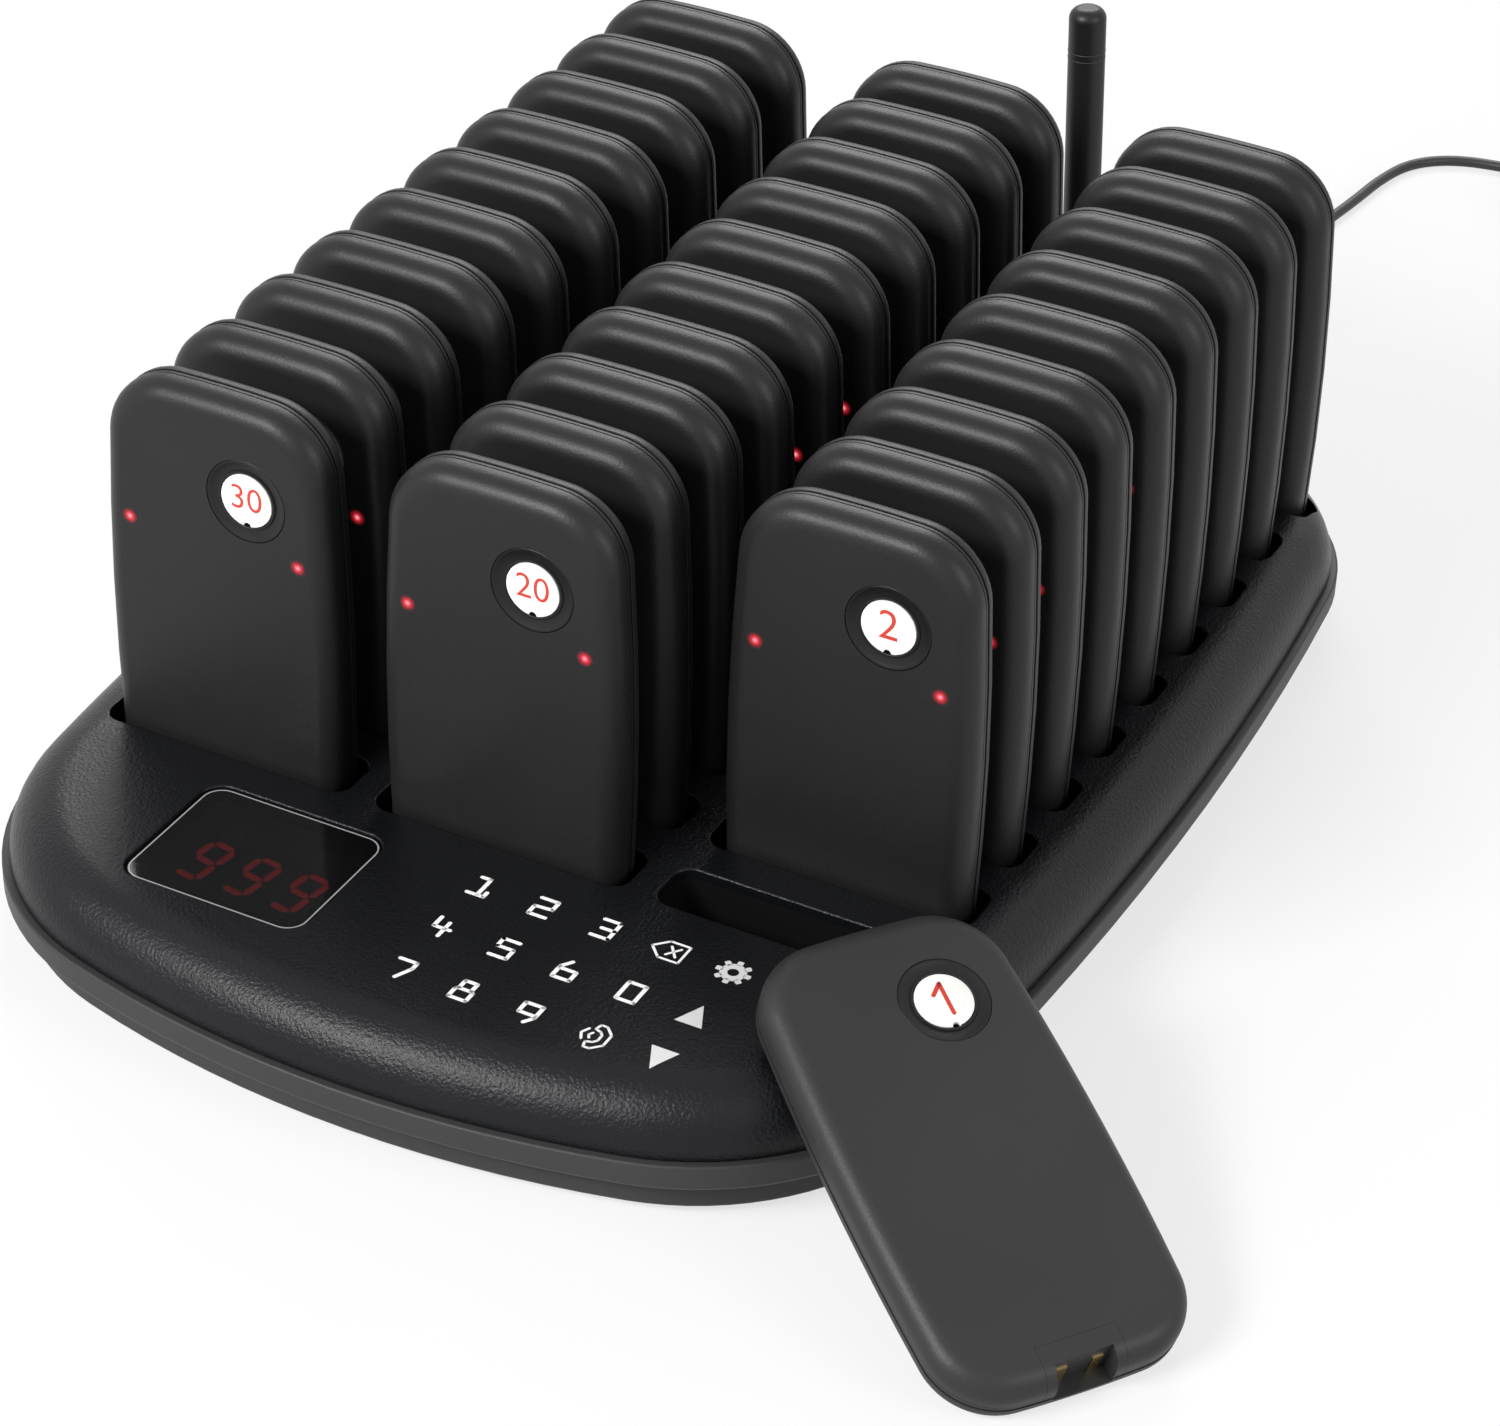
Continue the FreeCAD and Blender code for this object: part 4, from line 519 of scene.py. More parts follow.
def pager_outline(sizes, inset, level):
    """The pager's outline of eight smooth arcs, drawn in by an inset."""
    foot = Vector((0, sizes.end_arc - sizes.length / 2))
    top = Vector((0, sizes.length / 2 - sizes.end_arc))
    side = Vector((sizes.width / 2 - sizes.side_arc, sizes.side_middle))
    low = corner_centre(foot, sizes.end_arc, side, sizes.side_arc, sizes.foot_corner, -1)
    high = corner_centre(top, sizes.end_arc, side, sizes.side_arc, sizes.top_corner, 1)

    def bearing(start, end):
        return math.atan2(end.y - start.y, end.x - start.x)

    turns = [bearing(foot, low), bearing(side, low), bearing(side, high), bearing(top, high)]
    half = [(low, turns[1] - turns[0]), (side, turns[2] - turns[1]), (high, turns[3] - turns[2])]
    mirrored = [(Vector((-centre.x, centre.y)), angle) for centre, angle in reversed(half)]
    arcs = half + [(top, math.pi - 2 * turns[3])] + mirrored + [(foot, math.pi + 2 * turns[0])]
    reach = sizes.end_arc - inset
    start = foot + Vector((math.cos(turns[0]), math.sin(turns[0]))) * reach
    bm = bmesh.new()
    swing(bm, (start.x, start.y, level), arcs)
    return bm


def pager_slab(sizes, inset, low, high, low_round, high_round, segments=6):
    bm = pager_outline(sizes, inset, low)
    raise_outline(bm, high - low)
    round_rim(bm, high, high_round, segments if high_round > 0.001 else 2)
    round_rim(bm, low, low_round, segments if low_round > 0.001 else 2)
    return bm


def disc_middle(sizes):
    return Vector((sizes.disc_side, sizes.length / 2 - sizes.disc_drop))


def open_face(bm, sizes):
    """Cut the round hole for the number ring in the face."""
    level = max(v.co.z for v in bm.verts)
    face = max((f for f in bm.faces if f.normal.z > 0.99), key=lambda f: f.calc_area())
    rim = list(face.edges)
    bmesh.ops.delete(bm, geom=[face], context="FACES_ONLY")
    middle = disc_middle(sizes)
    hole = bmesh.ops.create_circle(bm, cap_ends=False, segments=56, radius=sizes.ring_across / 2 + 0.0001,
                                   matrix=Matrix.Translation((*middle, level)))
    edges = list({edge for v in hole["verts"] for edge in v.link_edges})
    bmesh.ops.triangle_fill(bm, use_beauty=True, use_dissolve=False, edges=rim + edges,
                            normal=(0, 0, 1))
    made = bmesh.ops.extrude_edge_only(bm, edges=edges)
    shift_made(bm, made, -0.0014)
    bmesh.ops.recalc_face_normals(bm, faces=bm.faces[:])


def pager_shells(sizes):
    """Both shells with the strip and grooves of their seam."""
    thick = sizes.thickness
    seam = thick - sizes.front_deep
    front = pager_slab(sizes, 0, seam, thick, 0.0002, sizes.face_round, 8)
    open_face(front, sizes)
    strip_high = seam - sizes.groove
    strip_low = strip_high - sizes.strip_deep
    for part in (pager_slab(sizes, 0.0005, sizes.back_round, seam + 0.001, 0, 0),
                 pager_slab(sizes, 0.00015, strip_low, strip_high, 0.00012, 0.00012),
                 pager_slab(sizes, 0, 0, strip_low - sizes.groove, sizes.back_round, 0.0002)):
        join(front, part)
    return front


def number_ring(sizes):
    """The dished ring with its outer groove and the fine rim around the disc."""
    outer = sizes.ring_across / 2
    inner = sizes.disc_across / 2
    top = sizes.thickness
    profile = [(outer, top - 0.0014), (outer, top - 0.00018), (outer - 0.00015, top - 0.00003),
               (outer - 0.00045, top - 0.00003), (outer - 0.0006, top - 0.00012),
               (inner + 0.0011, top - 0.0006), (inner + 0.00085, top - 0.00062),
               (inner + 0.00075, top - 0.00035), (inner + 0.00035, top - 0.0003),
               (inner + 0.00018, top - 0.0004), (inner + 0.00015, top - 0.0014)]
    return lathe(profile, Matrix.Translation((*disc_middle(sizes), 0)), 64)


def number_disc(sizes):
    """The white disc with a small notch under the number."""
    radius = sizes.disc_across / 2
    notch = 0.0009
    half = 2 * math.asin(notch / (2 * radius))
    start = -math.pi / 2 + half
    bm = bmesh.new()
    swing(bm, (radius * math.cos(start), radius * math.sin(start), 0),
          [((0, 0), 2 * math.pi - 2 * half), ((0, -radius), half - math.pi)])
    raise_outline(bm, 0.0009)
    round_rim(bm, 0.0009, 0.00012, 2)
    level = sizes.thickness - 0.0011
    bmesh.ops.translate(bm, verts=bm.verts[:], vec=(*disc_middle(sizes), level))
    return bm


def written(text, high, thick):
    """A number as a mesh, centred on the origin."""
    curve = bpy.data.curves.new("number", "FONT")
    curve.body = text
    curve.size = high
    curve.offset = -high * 0.004
    curve.extrude = thick / 2
    curve.align_x = "CENTER"
    curve.align_y = "CENTER"
    curve.resolution_u = 4
    holder = bpy.data.objects.new("number", curve)
    mesh = bpy.data.meshes.new_from_object(holder)
    bm = bmesh.new()
    bm.from_mesh(mesh)
    bpy.data.objects.remove(holder)
    bpy.data.curves.remove(curve)
    bpy.data.meshes.remove(mesh)
    bmesh.ops.remove_doubles(bm, verts=bm.verts[:], dist=NEAR)
    return bm


def number_one(high):
    """A one with its flag, from two bars."""
    bm = bmesh.new()
    head, foot, flag = Vector((0.06, 0.36)), Vector((0.06, -0.36)), Vector((-0.17, 0.14))
    for start, end in ((head, foot), (head, flag)):
        stroke(bm, start * high, end * high, high * 0.09)
    return bm


def number_print(sizes, text):
    high = sizes.number_high * (1.2 if len(text) == 1 else 1)
    bm = number_one(high) if text == "1" else written(text, high, LEGEND_DEEP)
    middle = disc_middle(sizes)
    bmesh.ops.translate(bm, verts=bm.verts[:],
                        vec=(middle.x, middle.y + 0.0003, sizes.thickness - 0.00018))
    return bm


def pager_lights(sizes):
    """The glow of the two lights, brightest in the middle of each."""
    bm = bmesh.new()
    for side in (-1, 1):
        spot = Vector((side * sizes.light_side, sizes.light_up - sizes.length / 2,
                       sizes.thickness + 0.00003))
        made = bmesh.ops.create_circle(bm, cap_ends=True, cap_tris=True, segments=24,
                                       radius=sizes.light_across / 2, matrix=Matrix.Translation(spot))
        spokes = list({e for v in made["verts"] for e in v.link_edges if (v.co - spot).length < NEAR})
        bmesh.ops.subdivide_edges(bm, edges=spokes, cuts=3, use_grid_fill=True)
    layer = bm.verts.layers.float.new("glow")
    for v in bm.verts:
        spot = Vector((math.copysign(sizes.light_side, v.co.x), sizes.light_up - sizes.length / 2))
        v[layer] = max(0.0, 1 - (v.co.xy - spot).length / (sizes.light_across / 2))
    return bm


def pager_name(column, row):
    """Numbers run up the right column, then down the middle and the left one."""
    number = row + 1 if column == COLUMNS - 1 else (COLUMNS - column) * ROWS - row
    return number, f"pager_{number:02d}"


LIT_PAGERS = (2, 3, 4, 6, 9, 15, 16, 20, 29, 30)


def dress_pager(sizes, number, name, body, place, nodes, shells=True):
    """The pieces of one pager, put in their place."""
    makers = [("ring", number_ring, "ring", "ring_plastic", nodes.get("ring", ())),
              ("disc", number_disc, "disc", "disc_plastic", nodes.get("disc", ())),
              ("number", lambda s: number_print(s, str(number)), "ink", "disc_plastic", ())]
    if number in LIT_PAGERS:
        makers.append(("lights", pager_lights, "glow", "pager_plastic", ()))
    if shells:
        makers.insert(0, ("shells", pager_shells, "shell", "pager_plastic", nodes.get("shells", ())))
    for part, maker, finish, slot, stands_for in makers:
        bm = maker(sizes)
        bmesh.ops.transform(bm, matrix=place, verts=bm.verts[:])
        piece = finished(f"{name}_{part}", bm, finish, body, stands_for)
        if part == "shells":
            weighted(piece)


# The lead's route from the plug to the coil, as in the CAD source
LEAD_ROUTE = [(0.030, 0.1996, 0.0174), (0.030, 0.2166, 0.0174), (0.0302, 0.236, 0.0128),
              (0.0297, 0.254, 0.0064), (0.0294, 0.272, 0.0022), (0.0300, 0.291, 0.00155),
              (0.0312, 0.311, 0.00155), (0.0338, 0.328, 0.00155), (0.0354, 0.344, 0.00155),
              (0.0394, 0.3586, 0.00155), (0.0502, 0.3678, 0.00155), (0.0662, 0.3706, 0.00155),
              (0.081, 0.3697, 0.0027), (0.099, 0.3697, 0.0027)]
COIL_MIDDLE = Vector((0.102, 0.3486))
COIL_LEVEL = 0.0027
COIL_LAYERS = (4, 4, 4, 3)
COIL_POINTS = 8
LEAD_TAIL = 0.015


def coil_points(sizes):
    """Points along the coil's half turns, each a little outside the line that the spline draws."""
    moves = []
    for layer, half_turns in enumerate(COIL_LAYERS):
        if layer:
            moves.append((0, sizes.coil_rise))
        drift = sizes.coil_step / 2 * (-1 if layer % 2 == 0 else 1)
        moves += [(drift, 0)] * half_turns
    outside = 1 / (0.75 + 0.25 * math.cos(math.pi / COIL_POINTS))
    radius, level = sizes.coil_radius, COIL_LEVEL
    points = []
    for index, (drift, rise) in enumerate(moves):
        for step in range(COIL_POINTS):
            share = (step + 0.5) / COIL_POINTS
            angle = math.pi / 2 - math.pi * (index + share)
            reach = (radius + drift * share) * outside
            points.append((COIL_MIDDLE.x + reach * math.cos(angle), COIL_MIDDLE.y + reach * math.sin(angle),
                           level + rise * share))
        radius += drift
        level += rise
    end = Vector((COIL_MIDDLE.x, COIL_MIDDLE.y + radius, level))
    return points, end


# Key legends, on a grid of half widths and half heights about the key's middle
LEGEND_STROKES = {
    "1": [[(-0.8, 1), (0.25, 1), (0.25, -1)], [(-0.95, -1), (1, -1), (1, -0.45)]],
    "2": [[(-1, 1), (1, 1), (1, 0.05), (-1, -0.05), (-1, -1), (1, -1)]],
    "3": [[(-0.9, 1), (1, 1), (1, -1), (-1, -1)], [(-0.5, 0), (1, 0)]],
    "4": [[(-0.9, 1), (-0.9, -0.1), (1, -0.1)], [(0.35, 0.65), (0.35, -1)]],
    "5": [[(1, 1), (-0.9, 1), (-0.9, 0.1), (1, 0.1), (1, -1), (-1, -1)]],
    "6": [[(-0.2, 1), (-1, 0.2), (-1, -1), (1, -1), (1, 0.05), (-1, 0.05)]],
    "7": [[(-1, 1), (1, 1), (1, 0.3), (0.1, -1)]],
    "8": [[(-0.7, 1), (0.7, 1), (0.7, 0.15), (1, -0.05), (1, -1), (-1, -1), (-1, -0.05),
           (-0.7, 0.15), (-0.7, 1)], [(-0.75, 0.1), (0.75, 0.1)]],
    "9": [[(1, -0.1), (-1, -0.1), (-1, 1), (1, 1), (1, -0.3), (0.3, -1)]],
    "0": [[(-1, 1), (1, 1), (1, -1), (-1, -1), (-1, 1)]],
    "delete": [[(-0.55, 1), (1.75, 1), (1.75, -1), (-0.55, -1), (-1.95, 0), (-0.55, 1)],
               [(-0.05, 0.5), (1.05, -0.5)], [(-0.05, -0.5), (1.05, 0.5)]],
    "handset": [[(0.0, 1.3), (0.7, 1.3), (1.7, 0.6), (1.7, -0.6), (0.7, -1.3), (0.0, -1.3),
                 (-0.2, -0.75), (0.5, -0.6), (0.85, -0.3), (0.85, 0.3), (0.5, 0.6), (-0.2, 0.75), (0.0, 1.3)],
                [(-0.15, 0.3), (-0.4, 0), (-0.15, -0.3)], [(-0.8, 0.6), (-1.25, 0), (-0.8, -0.6)]],
}
THIN_LEGENDS = ("delete", "handset")
KEY_ROWS = (("1", "2", "3", "delete", "gear"), ("4", "5", "6", "0", "up"),
            ("7", "8", "9", "handset", "down"))
def stroke(bm, start, end, wide):
    """A flat bar with round ends from one point to another."""
    run = end - start
    turn = Matrix.Rotation(math.atan2(run.y, run.x), 4, "Z")
    middle = (start + end) / 2
    bar = block((run.length + wide, wide, LEGEND_DEEP), wide * 0.49, Matrix.Identity(4), 3)
    join(bm, bar, Matrix.Translation((*middle, 0)) @ turn)


def legend_form(word, half_wide, half_tall, wide):
    bm = bmesh.new()
    for line in LEGEND_STROKES[word]:
        points = [Vector((x * half_wide, y * half_tall)) for x, y in line]
        for start, end in zip(points, points[1:]):
            stroke(bm, start, end, wide)
    return bm


def arrow_sign(tall, wide, turn):
    """A flat arrow head, divided so that it can follow the shoulder."""
    bm = bmesh.new()
    bmesh.ops.create_circle(bm, cap_ends=True, segments=3, radius=tall / 1.5)
    low, high = min(v.co.y for v in bm.verts), max(v.co.y for v in bm.verts)
    across = max(v.co.x for v in bm.verts) - min(v.co.x for v in bm.verts)
    centre = Matrix.Translation((0, -(low + high) / 2, 0))
    shape = Matrix.Rotation(turn, 4, "Z") @ Matrix.Diagonal((wide / across, 1, 1, 1)) @ centre
    bmesh.ops.transform(bm, matrix=shape, verts=bm.verts[:])
    bmesh.ops.subdivide_edges(bm, edges=bm.edges[:], cuts=7, use_grid_fill=True)
    bmesh.ops.triangulate(bm, faces=bm.faces[:])
    return bm


def gear_sign(radius):
    """A toothed wheel with a hole."""
    bm = lathe([(radius * 0.32, 0), (radius * 0.32, LEGEND_DEEP), (radius * 0.74, LEGEND_DEEP),
                (radius * 0.74, 0), (radius * 0.32, 0)], Matrix.Identity(4), 40)
    for tooth in range(8):
        turn = Matrix.Rotation(math.pi / 4 * tooth, 4, "Z")
        bar = block((radius * 0.4, radius * 0.34, LEGEND_DEEP), radius * 0.08, Matrix.Identity(4), 2)
        join(bm, bar, turn @ Matrix.Translation((radius * 0.83, 0, 0)))
    return bm


def settle(bm, tree, lift):
    """Let a thin print down onto the deck, so that it follows the shoulder."""
    for v in bm.verts:
        hit = tree.ray_cast(Vector((v.co.x, v.co.y, 0.1)), Vector((0, 0, -1)))[0]
        v.co.z += hit.z + lift


# Operators

class PieceOperator:
    """What every operator here shares."""
    bl_options = {"REGISTER", "UNDO"}


class PAGERS_OT_finishes(PieceOperator, bpy.types.Operator):
    """Make every finish"""
    bl_idname = "pagers.finishes"
    bl_label = "Finishes"

    def execute(self, context):
        FINISH.update(make_finishes(context.scene.pager_finishes))
        return {"FINISHED"}


class PAGERS_OT_camera(PieceOperator, bpy.types.Operator):
    """Put the camera where the picture was taken from"""
    bl_idname = "pagers.camera"
    bl_label = "Camera"

    def execute(self, context):
        azimuth, elevation, roll = (math.radians(degrees) for degrees in CAMERA_ANGLES)
        back = Vector((math.sin(azimuth) * math.cos(elevation), -math.cos(azimuth) * math.cos(elevation),
                       math.sin(elevation)))
        level = Vector((math.cos(azimuth), math.sin(azimuth), 0))
        upright = back.cross(level)
        right = level * math.cos(roll) + upright * math.sin(roll)
        up = upright * math.cos(roll) - level * math.sin(roll)
        data = bpy.data.cameras.new("Camera")
        data.sensor_width = 36
        data.lens = CAMERA_LENS
        data.clip_start = 0.05
        camera = linked("Camera", data)
        camera.matrix_world = placed(Vector(CAMERA_PLACE), right, up)
        context.scene.camera = camera
        return {"FINISHED"}


class PAGERS_OT_power_lead(PieceOperator, bpy.types.Operator):
    """Lay the power lead from its plug to the tied coil and the adapter"""
    bl_idname = "pagers.power_lead"
    bl_label = "Power lead"

    def execute(self, context):
        sizes = context.scene.lead_sizes
        points, end = coil_points(sizes)
        route = LEAD_ROUTE + points + [tuple(end), tuple(end + Vector((LEAD_TAIL, 0, 0)))]
        curve = bpy.data.curves.new("power_lead", "CURVE")
        curve.dimensions = "3D"
        curve.resolution_u = 6
        curve.bevel_depth = sizes.across / 2
        curve.bevel_resolution = 4
        curve.use_fill_caps = True
        spline = curve.splines.new("NURBS")
        spline.points.add(len(route) - 1)
        for point, place in zip(spline.points, route):
            point.co = (*place, 1)
        spline.order_u = 3
        spline.use_endpoint_u = True
        curve.materials.append(FINISH["lead"])
        lead = linked("power_lead", curve)
        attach(lead, "dock")
        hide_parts("cable_run", "cable_coil")
        return {"FINISHED"}


class PAGERS_OT_dock(PieceOperator, bpy.types.Operator):
    """Dress both halves of the dock"""
    bl_idname = "pagers.dock"
    bl_label = "Dock"

    def execute(self, context):
        sizes = context.scene.dock_sizes
        cover = node_form("top_cover")
        rims = [edge for edge in cover.edges
                if all(abs(v.co.z - DECK) < NEAR * 20 for v in edge.verts)
                and len(edge.link_faces) == 2
                and sorted(round(abs(face.normal.z)) for face in edge.link_faces) == [0, 1]]
        bmesh.ops.bevel(cover, geom=rims, offset=sizes.lip, offset_type="OFFSET", affect="EDGES",
                        segments=3, profile=0.5, material=-1, clamp_overlap=False)
        weighted(finished("dock_cover", cover, "deck", "dock", ["top_cover"], 30))
        case = node_form("bottom_case")
        weighted(finished("dock_case", case, "band", "dock", ["bottom_case"], 30))
        return {"FINISHED"}


class PAGERS_OT_keypad(PieceOperator, bpy.types.Operator):
    """Print the keypad's legends on the deck"""
    bl_idname = "pagers.keypad"
    bl_label = "Keypad legends"

    def execute(self, context):
        sizes = context.scene.dock_sizes
        deck = node_form("top_cover")
        tree = BVHTree.FromBMesh(deck)
        deck.free()
        half_tall = (sizes.key_tall - sizes.key_stroke) / 2
        half_wide = half_tall * 0.68
        strokes, solids = bmesh.new(), bmesh.new()
        for row, words in enumerate(KEY_ROWS):
            for column, word in enumerate(words):
                spot = Vector((sizes.first_key[0] + column * sizes.key_pitch[0],
                               sizes.first_key[1] - row * sizes.key_pitch[1], 0))
                place = Matrix.Translation(spot)
                if word in LEGEND_STROKES:
                    wide = sizes.key_stroke * (0.6 if word in THIN_LEGENDS else 1)
                    join(strokes, legend_form(word, half_wide, half_tall, wide), place)
                elif word == "gear":
                    join(solids, gear_sign(sizes.key_tall * 0.56), place)
                else:
                    turn = math.pi if word == "down" else 0
                    join(solids, arrow_sign(sizes.key_tall, sizes.key_tall * 0.91, turn), place)
        for bm in (strokes, solids):
            settle(bm, tree, 0.00003)
        finished("key_legends", strokes, "legend", "dock")
        finished("key_signs", solids, "legend_grey", "dock")
        return {"FINISHED"}


class PAGERS_OT_display(PieceOperator, bpy.types.Operator):
    """Build the display under its dark window"""
    bl_idname = "pagers.display"
    bl_label = "Display"

    def execute(self, context):
        sizes = context.scene.dock_sizes
        low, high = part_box("display_window")
        lens = block((high.x - low.x, high.y - low.y, high.z - low.z), sizes.window_corner,
                     Matrix.Translation(((low.x + high.x) / 2, (low.y + high.y) / 2, low.z)), 8, 0.0003)
        top = max(lens.faces, key=lambda face: face.calc_center_median().z * 1000 + face.calc_area())
        bmesh.ops.inset_region(lens, faces=[top], thickness=0.00012, depth=0)
        # The ring just inside the lens's top edge takes the light grey rim finish: a painted highlight for
        # the glint along the bevelled rim.
        rim = bmesh.ops.inset_region(lens, faces=[top], thickness=0.00035, depth=0)["faces"]
        for face in rim:
            face.material_index = 1
        piece = finished("display_lens", lens, "lens", "dock", ["display_window"])
        piece.data.materials.append(FINISH["rim"])
        weighted(piece)
        low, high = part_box("display_module")
        face = high.z - 0.0002
        middle_x, middle_y = sizes.digit_middle
        housing = block((*HOUSING_SIDES, face - low.z), 0.001,
                        Matrix.Translation((middle_x, middle_y, low.z)), 3)
        finished("display_housing", housing, "housing", "dock", ["display_module"])
        lit, unlit = bmesh.new(), bmesh.new()
        half_wide = (sizes.digit_wide - sizes.segment) / 2
        half_tall = sizes.digit_tall / 2 - sizes.segment / 2
        flat = sizes.digit_wide - 1.6 * sizes.segment
        tall = sizes.digit_tall / 2 - 1.1 * sizes.segment
        bars = [(0, 1, flat, 0), (0, 0, flat, 0), (0, -1, flat, 0), (-1, 0.5, tall, 1), (1, 0.5, tall, 1),
                (-1, -0.5, tall, 1), (1, -0.5, tall, 1)]
        for digit in range(3):
            place = (Matrix.Translation((middle_x + (digit - 1) * sizes.digit_pitch, middle_y, face))
                     @ Matrix.Rotation(-sizes.digit_slant, 4, "Z"))
            for side, level, length, standing in bars:
                bar = block((length, sizes.segment, 0.0002), sizes.segment * 0.42, Matrix.Identity(4), 1)
                turn = Matrix.Rotation(math.pi / 2 * standing, 4, "Z")
                dark = (side, level) == (-1, -0.5)
                join(unlit if dark else lit, bar,
                     place @ Matrix.Translation((side * half_wide, level * half_tall, 0)) @ turn)
        finished("display_segments", lit, "segment", "dock")
        finished("display_unlit_segments", unlit, "unlit", "dock")
        return {"FINISHED"}


class PAGERS_OT_pagers(PieceOperator, bpy.types.Operator):
    """Stand twenty-nine pagers in their slots"""
    bl_idname = "pagers.standing_pagers"
    bl_label = "Standing pagers"

    def execute(self, context):
        sizes, dock = context.scene.pager_sizes, context.scene.dock_sizes
        for column in range(COLUMNS):
            for row in range(ROWS):
                number, name = pager_name(column, row)
                if number == 1:
                    continue
                origin = Vector(((column - 1) * dock.column_pitch,
                                 dock.first_row + row * dock.row_pitch + sizes.thickness / 2,
                                 dock.seat + sizes.length / 2))
                place = placed(origin, Vector((1, 0, 0)), Vector((0, 0, 1)))
                dress_pager(sizes, number, name, name, place, {"shells": (name,)})
        return {"FINISHED"}


class PAGERS_OT_loose_pager(PieceOperator, bpy.types.Operator):
    """Lean the loose pager on the dock's corner"""
    bl_idname = "pagers.loose_pager"
    bl_label = "Loose pager"

    def execute(self, context):
        sizes, lean = context.scene.pager_sizes, context.scene.lead_sizes
        outward = Vector((math.sin(lean.lean_heading), -math.cos(lean.lean_heading), 0))
        right = Vector((math.cos(lean.lean_heading), math.sin(lean.lean_heading), 0))
        out = outward * math.sin(lean.lean_tilt) + Vector((0, 0, math.cos(lean.lean_tilt)))
        up = out.cross(right)
        low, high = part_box("pager_01_number_disc")
        disc = (low + high) / 2
        local = Vector((*disc_middle(sizes), sizes.thickness - 0.0007))
        origin = disc - right * local.x - up * local.y - out * local.z
        place = placed(origin, right, up)
        names = {"ring": ("pager_01_label_ring",), "disc": ("pager_01_number_disc",)}
        dress_pager(sizes, 1, "pager_01", "loose_pager", place, names, shells=False)
        # These parts wear the lighter copy of the pager plastic: painted light for the lying pager's lit
        # face.
        for part, finish, slot in (("front_shell", "lit_loose_shell", "pager_plastic"),
                                   ("rear_shell", "lit_loose_shell", "pager_plastic"),
                                   ("contact_block", "lit_loose_shell", "ring_plastic")):
            node = "pager_01_" + part
            weighted(finished(node + "_skin", node_form(node), finish, "loose_pager", [node], 30))
        return {"FINISHED"}


class PAGERS_OT_antenna(PieceOperator, bpy.types.Operator):
    """Fit the hinged antenna"""
    bl_idname = "pagers.antenna"
    bl_label = "Antenna"

    def execute(self, context):
        for node, body, finish, slot in (
                ("antenna_knuckle", "antenna_base", "antenna", "antenna_plastic"),
                ("antenna_whip", "antenna_rod", "antenna", "antenna_plastic"),
                ("antenna_socket", "dock", "brass", "contact_brass")):
            weighted(finished(node + "_skin", node_form(node), finish, body, [node], 30))
        rings = bmesh.new()
        for level in TIP_RING_LEVELS:
            ring = [(WHIP_RADIUS, level), (WHIP_RADIUS + 0.00009, level + 0.00012),
                    (WHIP_RADIUS, level + 0.00024)]
            join(rings, lathe(ring, Matrix.Identity(4)))
        lean = Matrix.Translation(ANTENNA_HINGE) @ Matrix.Rotation(ANTENNA_LEAN, 4, "Y")
        bmesh.ops.transform(rings, matrix=lean, verts=rings.verts[:])
        finished("antenna_tip_rings", rings, "band", "antenna_rod")
        return {"FINISHED"}


class PAGERS_OT_other_parts(PieceOperator, bpy.types.Operator):
    """Give the remaining parts their finish"""
    bl_idname = "pagers.other_parts"
    bl_label = "Other parts"

    def execute(self, context):
        worn = {"rack_left": "rack", "rack_middle": "rack", "rack_right": "rack", "charge_boards": "board",
                "charge_pins": "brass", "touch_board": "board", "main_board": "board",
                "rubber_feet": "rubber", "case_screws": "steel", "dc_jack": "rack", "dc_plug": "lead",
                "cable_tie": "tie", "power_adapter": "adapter", "pager_01_contact_strips": "brass",
                "pager_01_circuit_board": "board", "pager_01_battery": "foil", "pager_01_motor": "steel"}
        for node, finish in worn.items():
            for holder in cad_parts[node].material_slots:
                holder.material = FINISH[finish]
        return {"FINISHED"}


def lamp(name, place, aim, sides, power):
    """A soft rectangular lamp that faces a point."""
    data = bpy.data.lights.new(name, "AREA")
    data.shape = "RECTANGLE"
    data.size, data.size_y = sides
    data.energy = power
    light = linked(name, data)
    light.location = place
    light.rotation_mode = "QUATERNION"
    light.rotation_quaternion = (Vector(aim) - Vector(place)).to_track_quat("-Z", "Y")


def seen_white(wire):
    """One where the camera, a gloss or a glass looks, zero for other light."""
    path = wire.node("LightPath").socket.node
    camera, gloss, glass = (Wire(wire.tree, path.outputs[name])
                            for name in ("Is Camera Ray", "Is Glossy Ray", "Is Transmission Ray"))
    return camera.maths("MAXIMUM", camera, gloss.maths("MAXIMUM", gloss, glass))


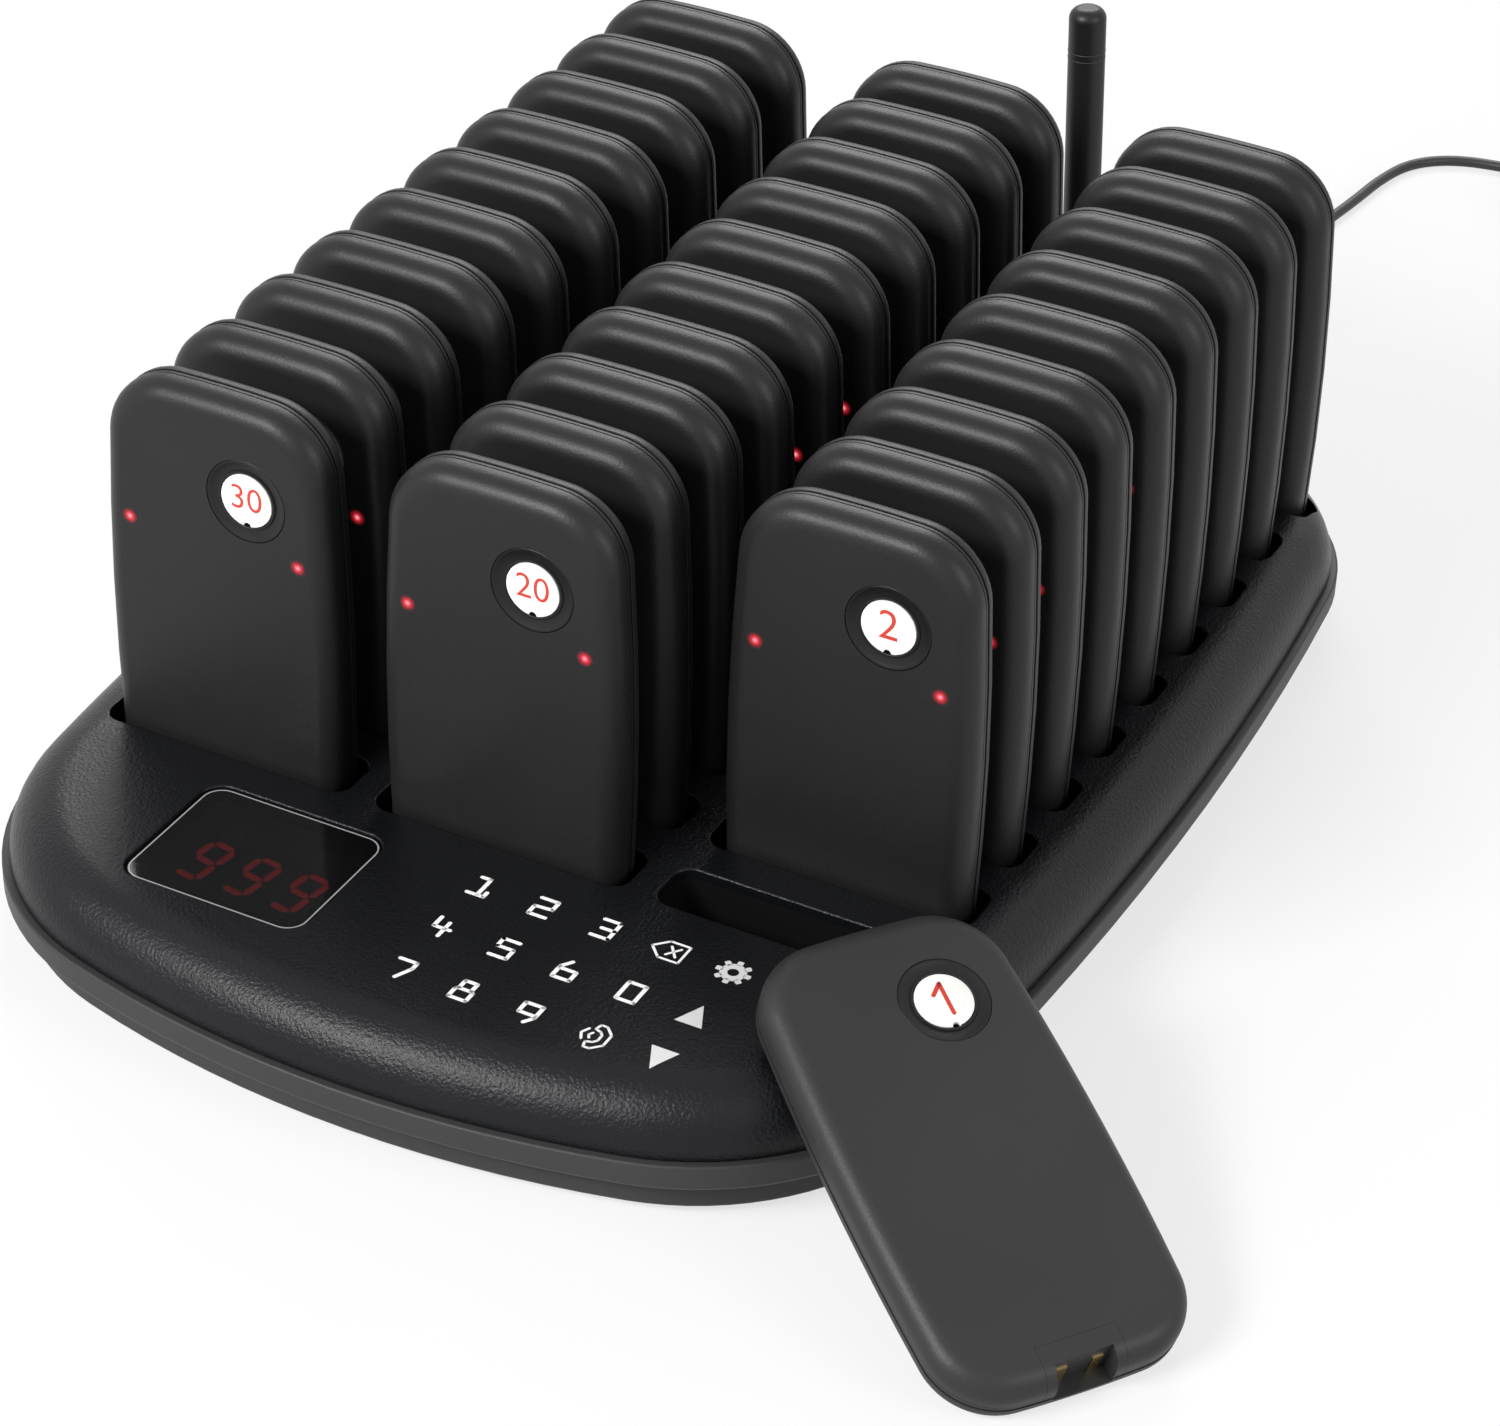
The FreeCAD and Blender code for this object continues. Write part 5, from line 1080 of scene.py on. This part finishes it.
class PAGERS_OT_stage(PieceOperator, bpy.types.Operator):
    """Set the pale floor, the lamps and the world"""
    bl_idname = "pagers.stage"
    bl_label = "Stage"

    def execute(self, context):
        material, wire = new_finish("Pale floor")
        diffuse = wire.node("BsdfDiffuse", None, {"Color": (0.8, 0.8, 0.8, 1)})
        white = wire.node("Emission", None, {"Color": (1, 1, 1, 1), "Strength": 1.0})
        share = seen_white(wire) * 0.72
        close_finish(wire, wire.node("MixShader", None, {0: share, 1: diffuse, 2: white}))
        bm = bmesh.new()
        bmesh.ops.create_grid(bm, x_segments=4, y_segments=4, size=4.0,
                              matrix=Matrix.Translation((0, 0, -FLOOR_DROP)))
        mesh = bpy.data.meshes.new("floor")
        bm.to_mesh(mesh)
        bm.free()
        mesh.materials.append(material)
        floor = linked("floor", mesh)

        world = bpy.data.worlds.new("Studio")
        world.use_nodes = True
        world.node_tree.nodes.clear()
        sky = Wire(world.node_tree)
        strength = seen_white(sky) * 0.7 + 0.3
        glow = sky.node("Background", None, {"Color": (1, 1, 1, 1), "Strength": strength})
        out = sky.tree.nodes.new("ShaderNodeOutputWorld")
        sky.tree.links.new(glow.socket, out.inputs["Surface"])
        context.scene.world = world

        aim = (0, -0.02, 0.05)
        lamp("Front lamp", (-0.5, -1.2, 1.0), aim, (0.7, 0.35), 28)
        lamp("Back lamp", (-0.45, 1.1, 0.95), aim, (0.9, 0.5), 12)
        lamp("Right lamp", (1.3, -0.2, 0.7), aim, (0.6, 0.6), 6)
        context.scene.view_settings.view_transform = "Standard"
        return {"FINISHED"}


OPERATORS = (PAGERS_OT_finishes, PAGERS_OT_camera, PAGERS_OT_power_lead, PAGERS_OT_dock,
             PAGERS_OT_keypad, PAGERS_OT_display, PAGERS_OT_pagers, PAGERS_OT_loose_pager,
             PAGERS_OT_antenna, PAGERS_OT_other_parts, PAGERS_OT_stage)


class PAGERS_PT_panel(bpy.types.Panel):
    """Lists the steps"""
    bl_idname = "PAGERS_PT_panel"
    bl_label = "Pager system"
    bl_space_type = "VIEW_3D"
    bl_region_type = "UI"
    bl_category = "Pagers"

    def draw(self, context):
        for operator in OPERATORS:
            self.layout.operator(operator.bl_idname)
        for group in GROUPS:
            settings = getattr(context.scene, group)
            box = self.layout.box()
            for name in settings.__annotations__:
                box.prop(settings, name)


def register():
    for group in GROUPS.values():
        bpy.utils.register_class(group)
    for name, group in GROUPS.items():
        setattr(bpy.types.Scene, name, PointerProperty(type=group))
    for operator in OPERATORS:
        bpy.utils.register_class(operator)
    bpy.utils.register_class(PAGERS_PT_panel)


def unregister():
    bpy.utils.unregister_class(PAGERS_PT_panel)
    for operator in reversed(OPERATORS):
        bpy.utils.unregister_class(operator)
    for name, group in GROUPS.items():
        delattr(bpy.types.Scene, name)
        bpy.utils.unregister_class(group)


def main():
    """Build the whole object."""
    register()
    for operator in OPERATORS:
        group, name = operator.bl_idname.split(".")
        getattr(getattr(bpy.ops, group), name)()
    bpy.context.view_layer.update()


if __name__ == "__main__":
    main()
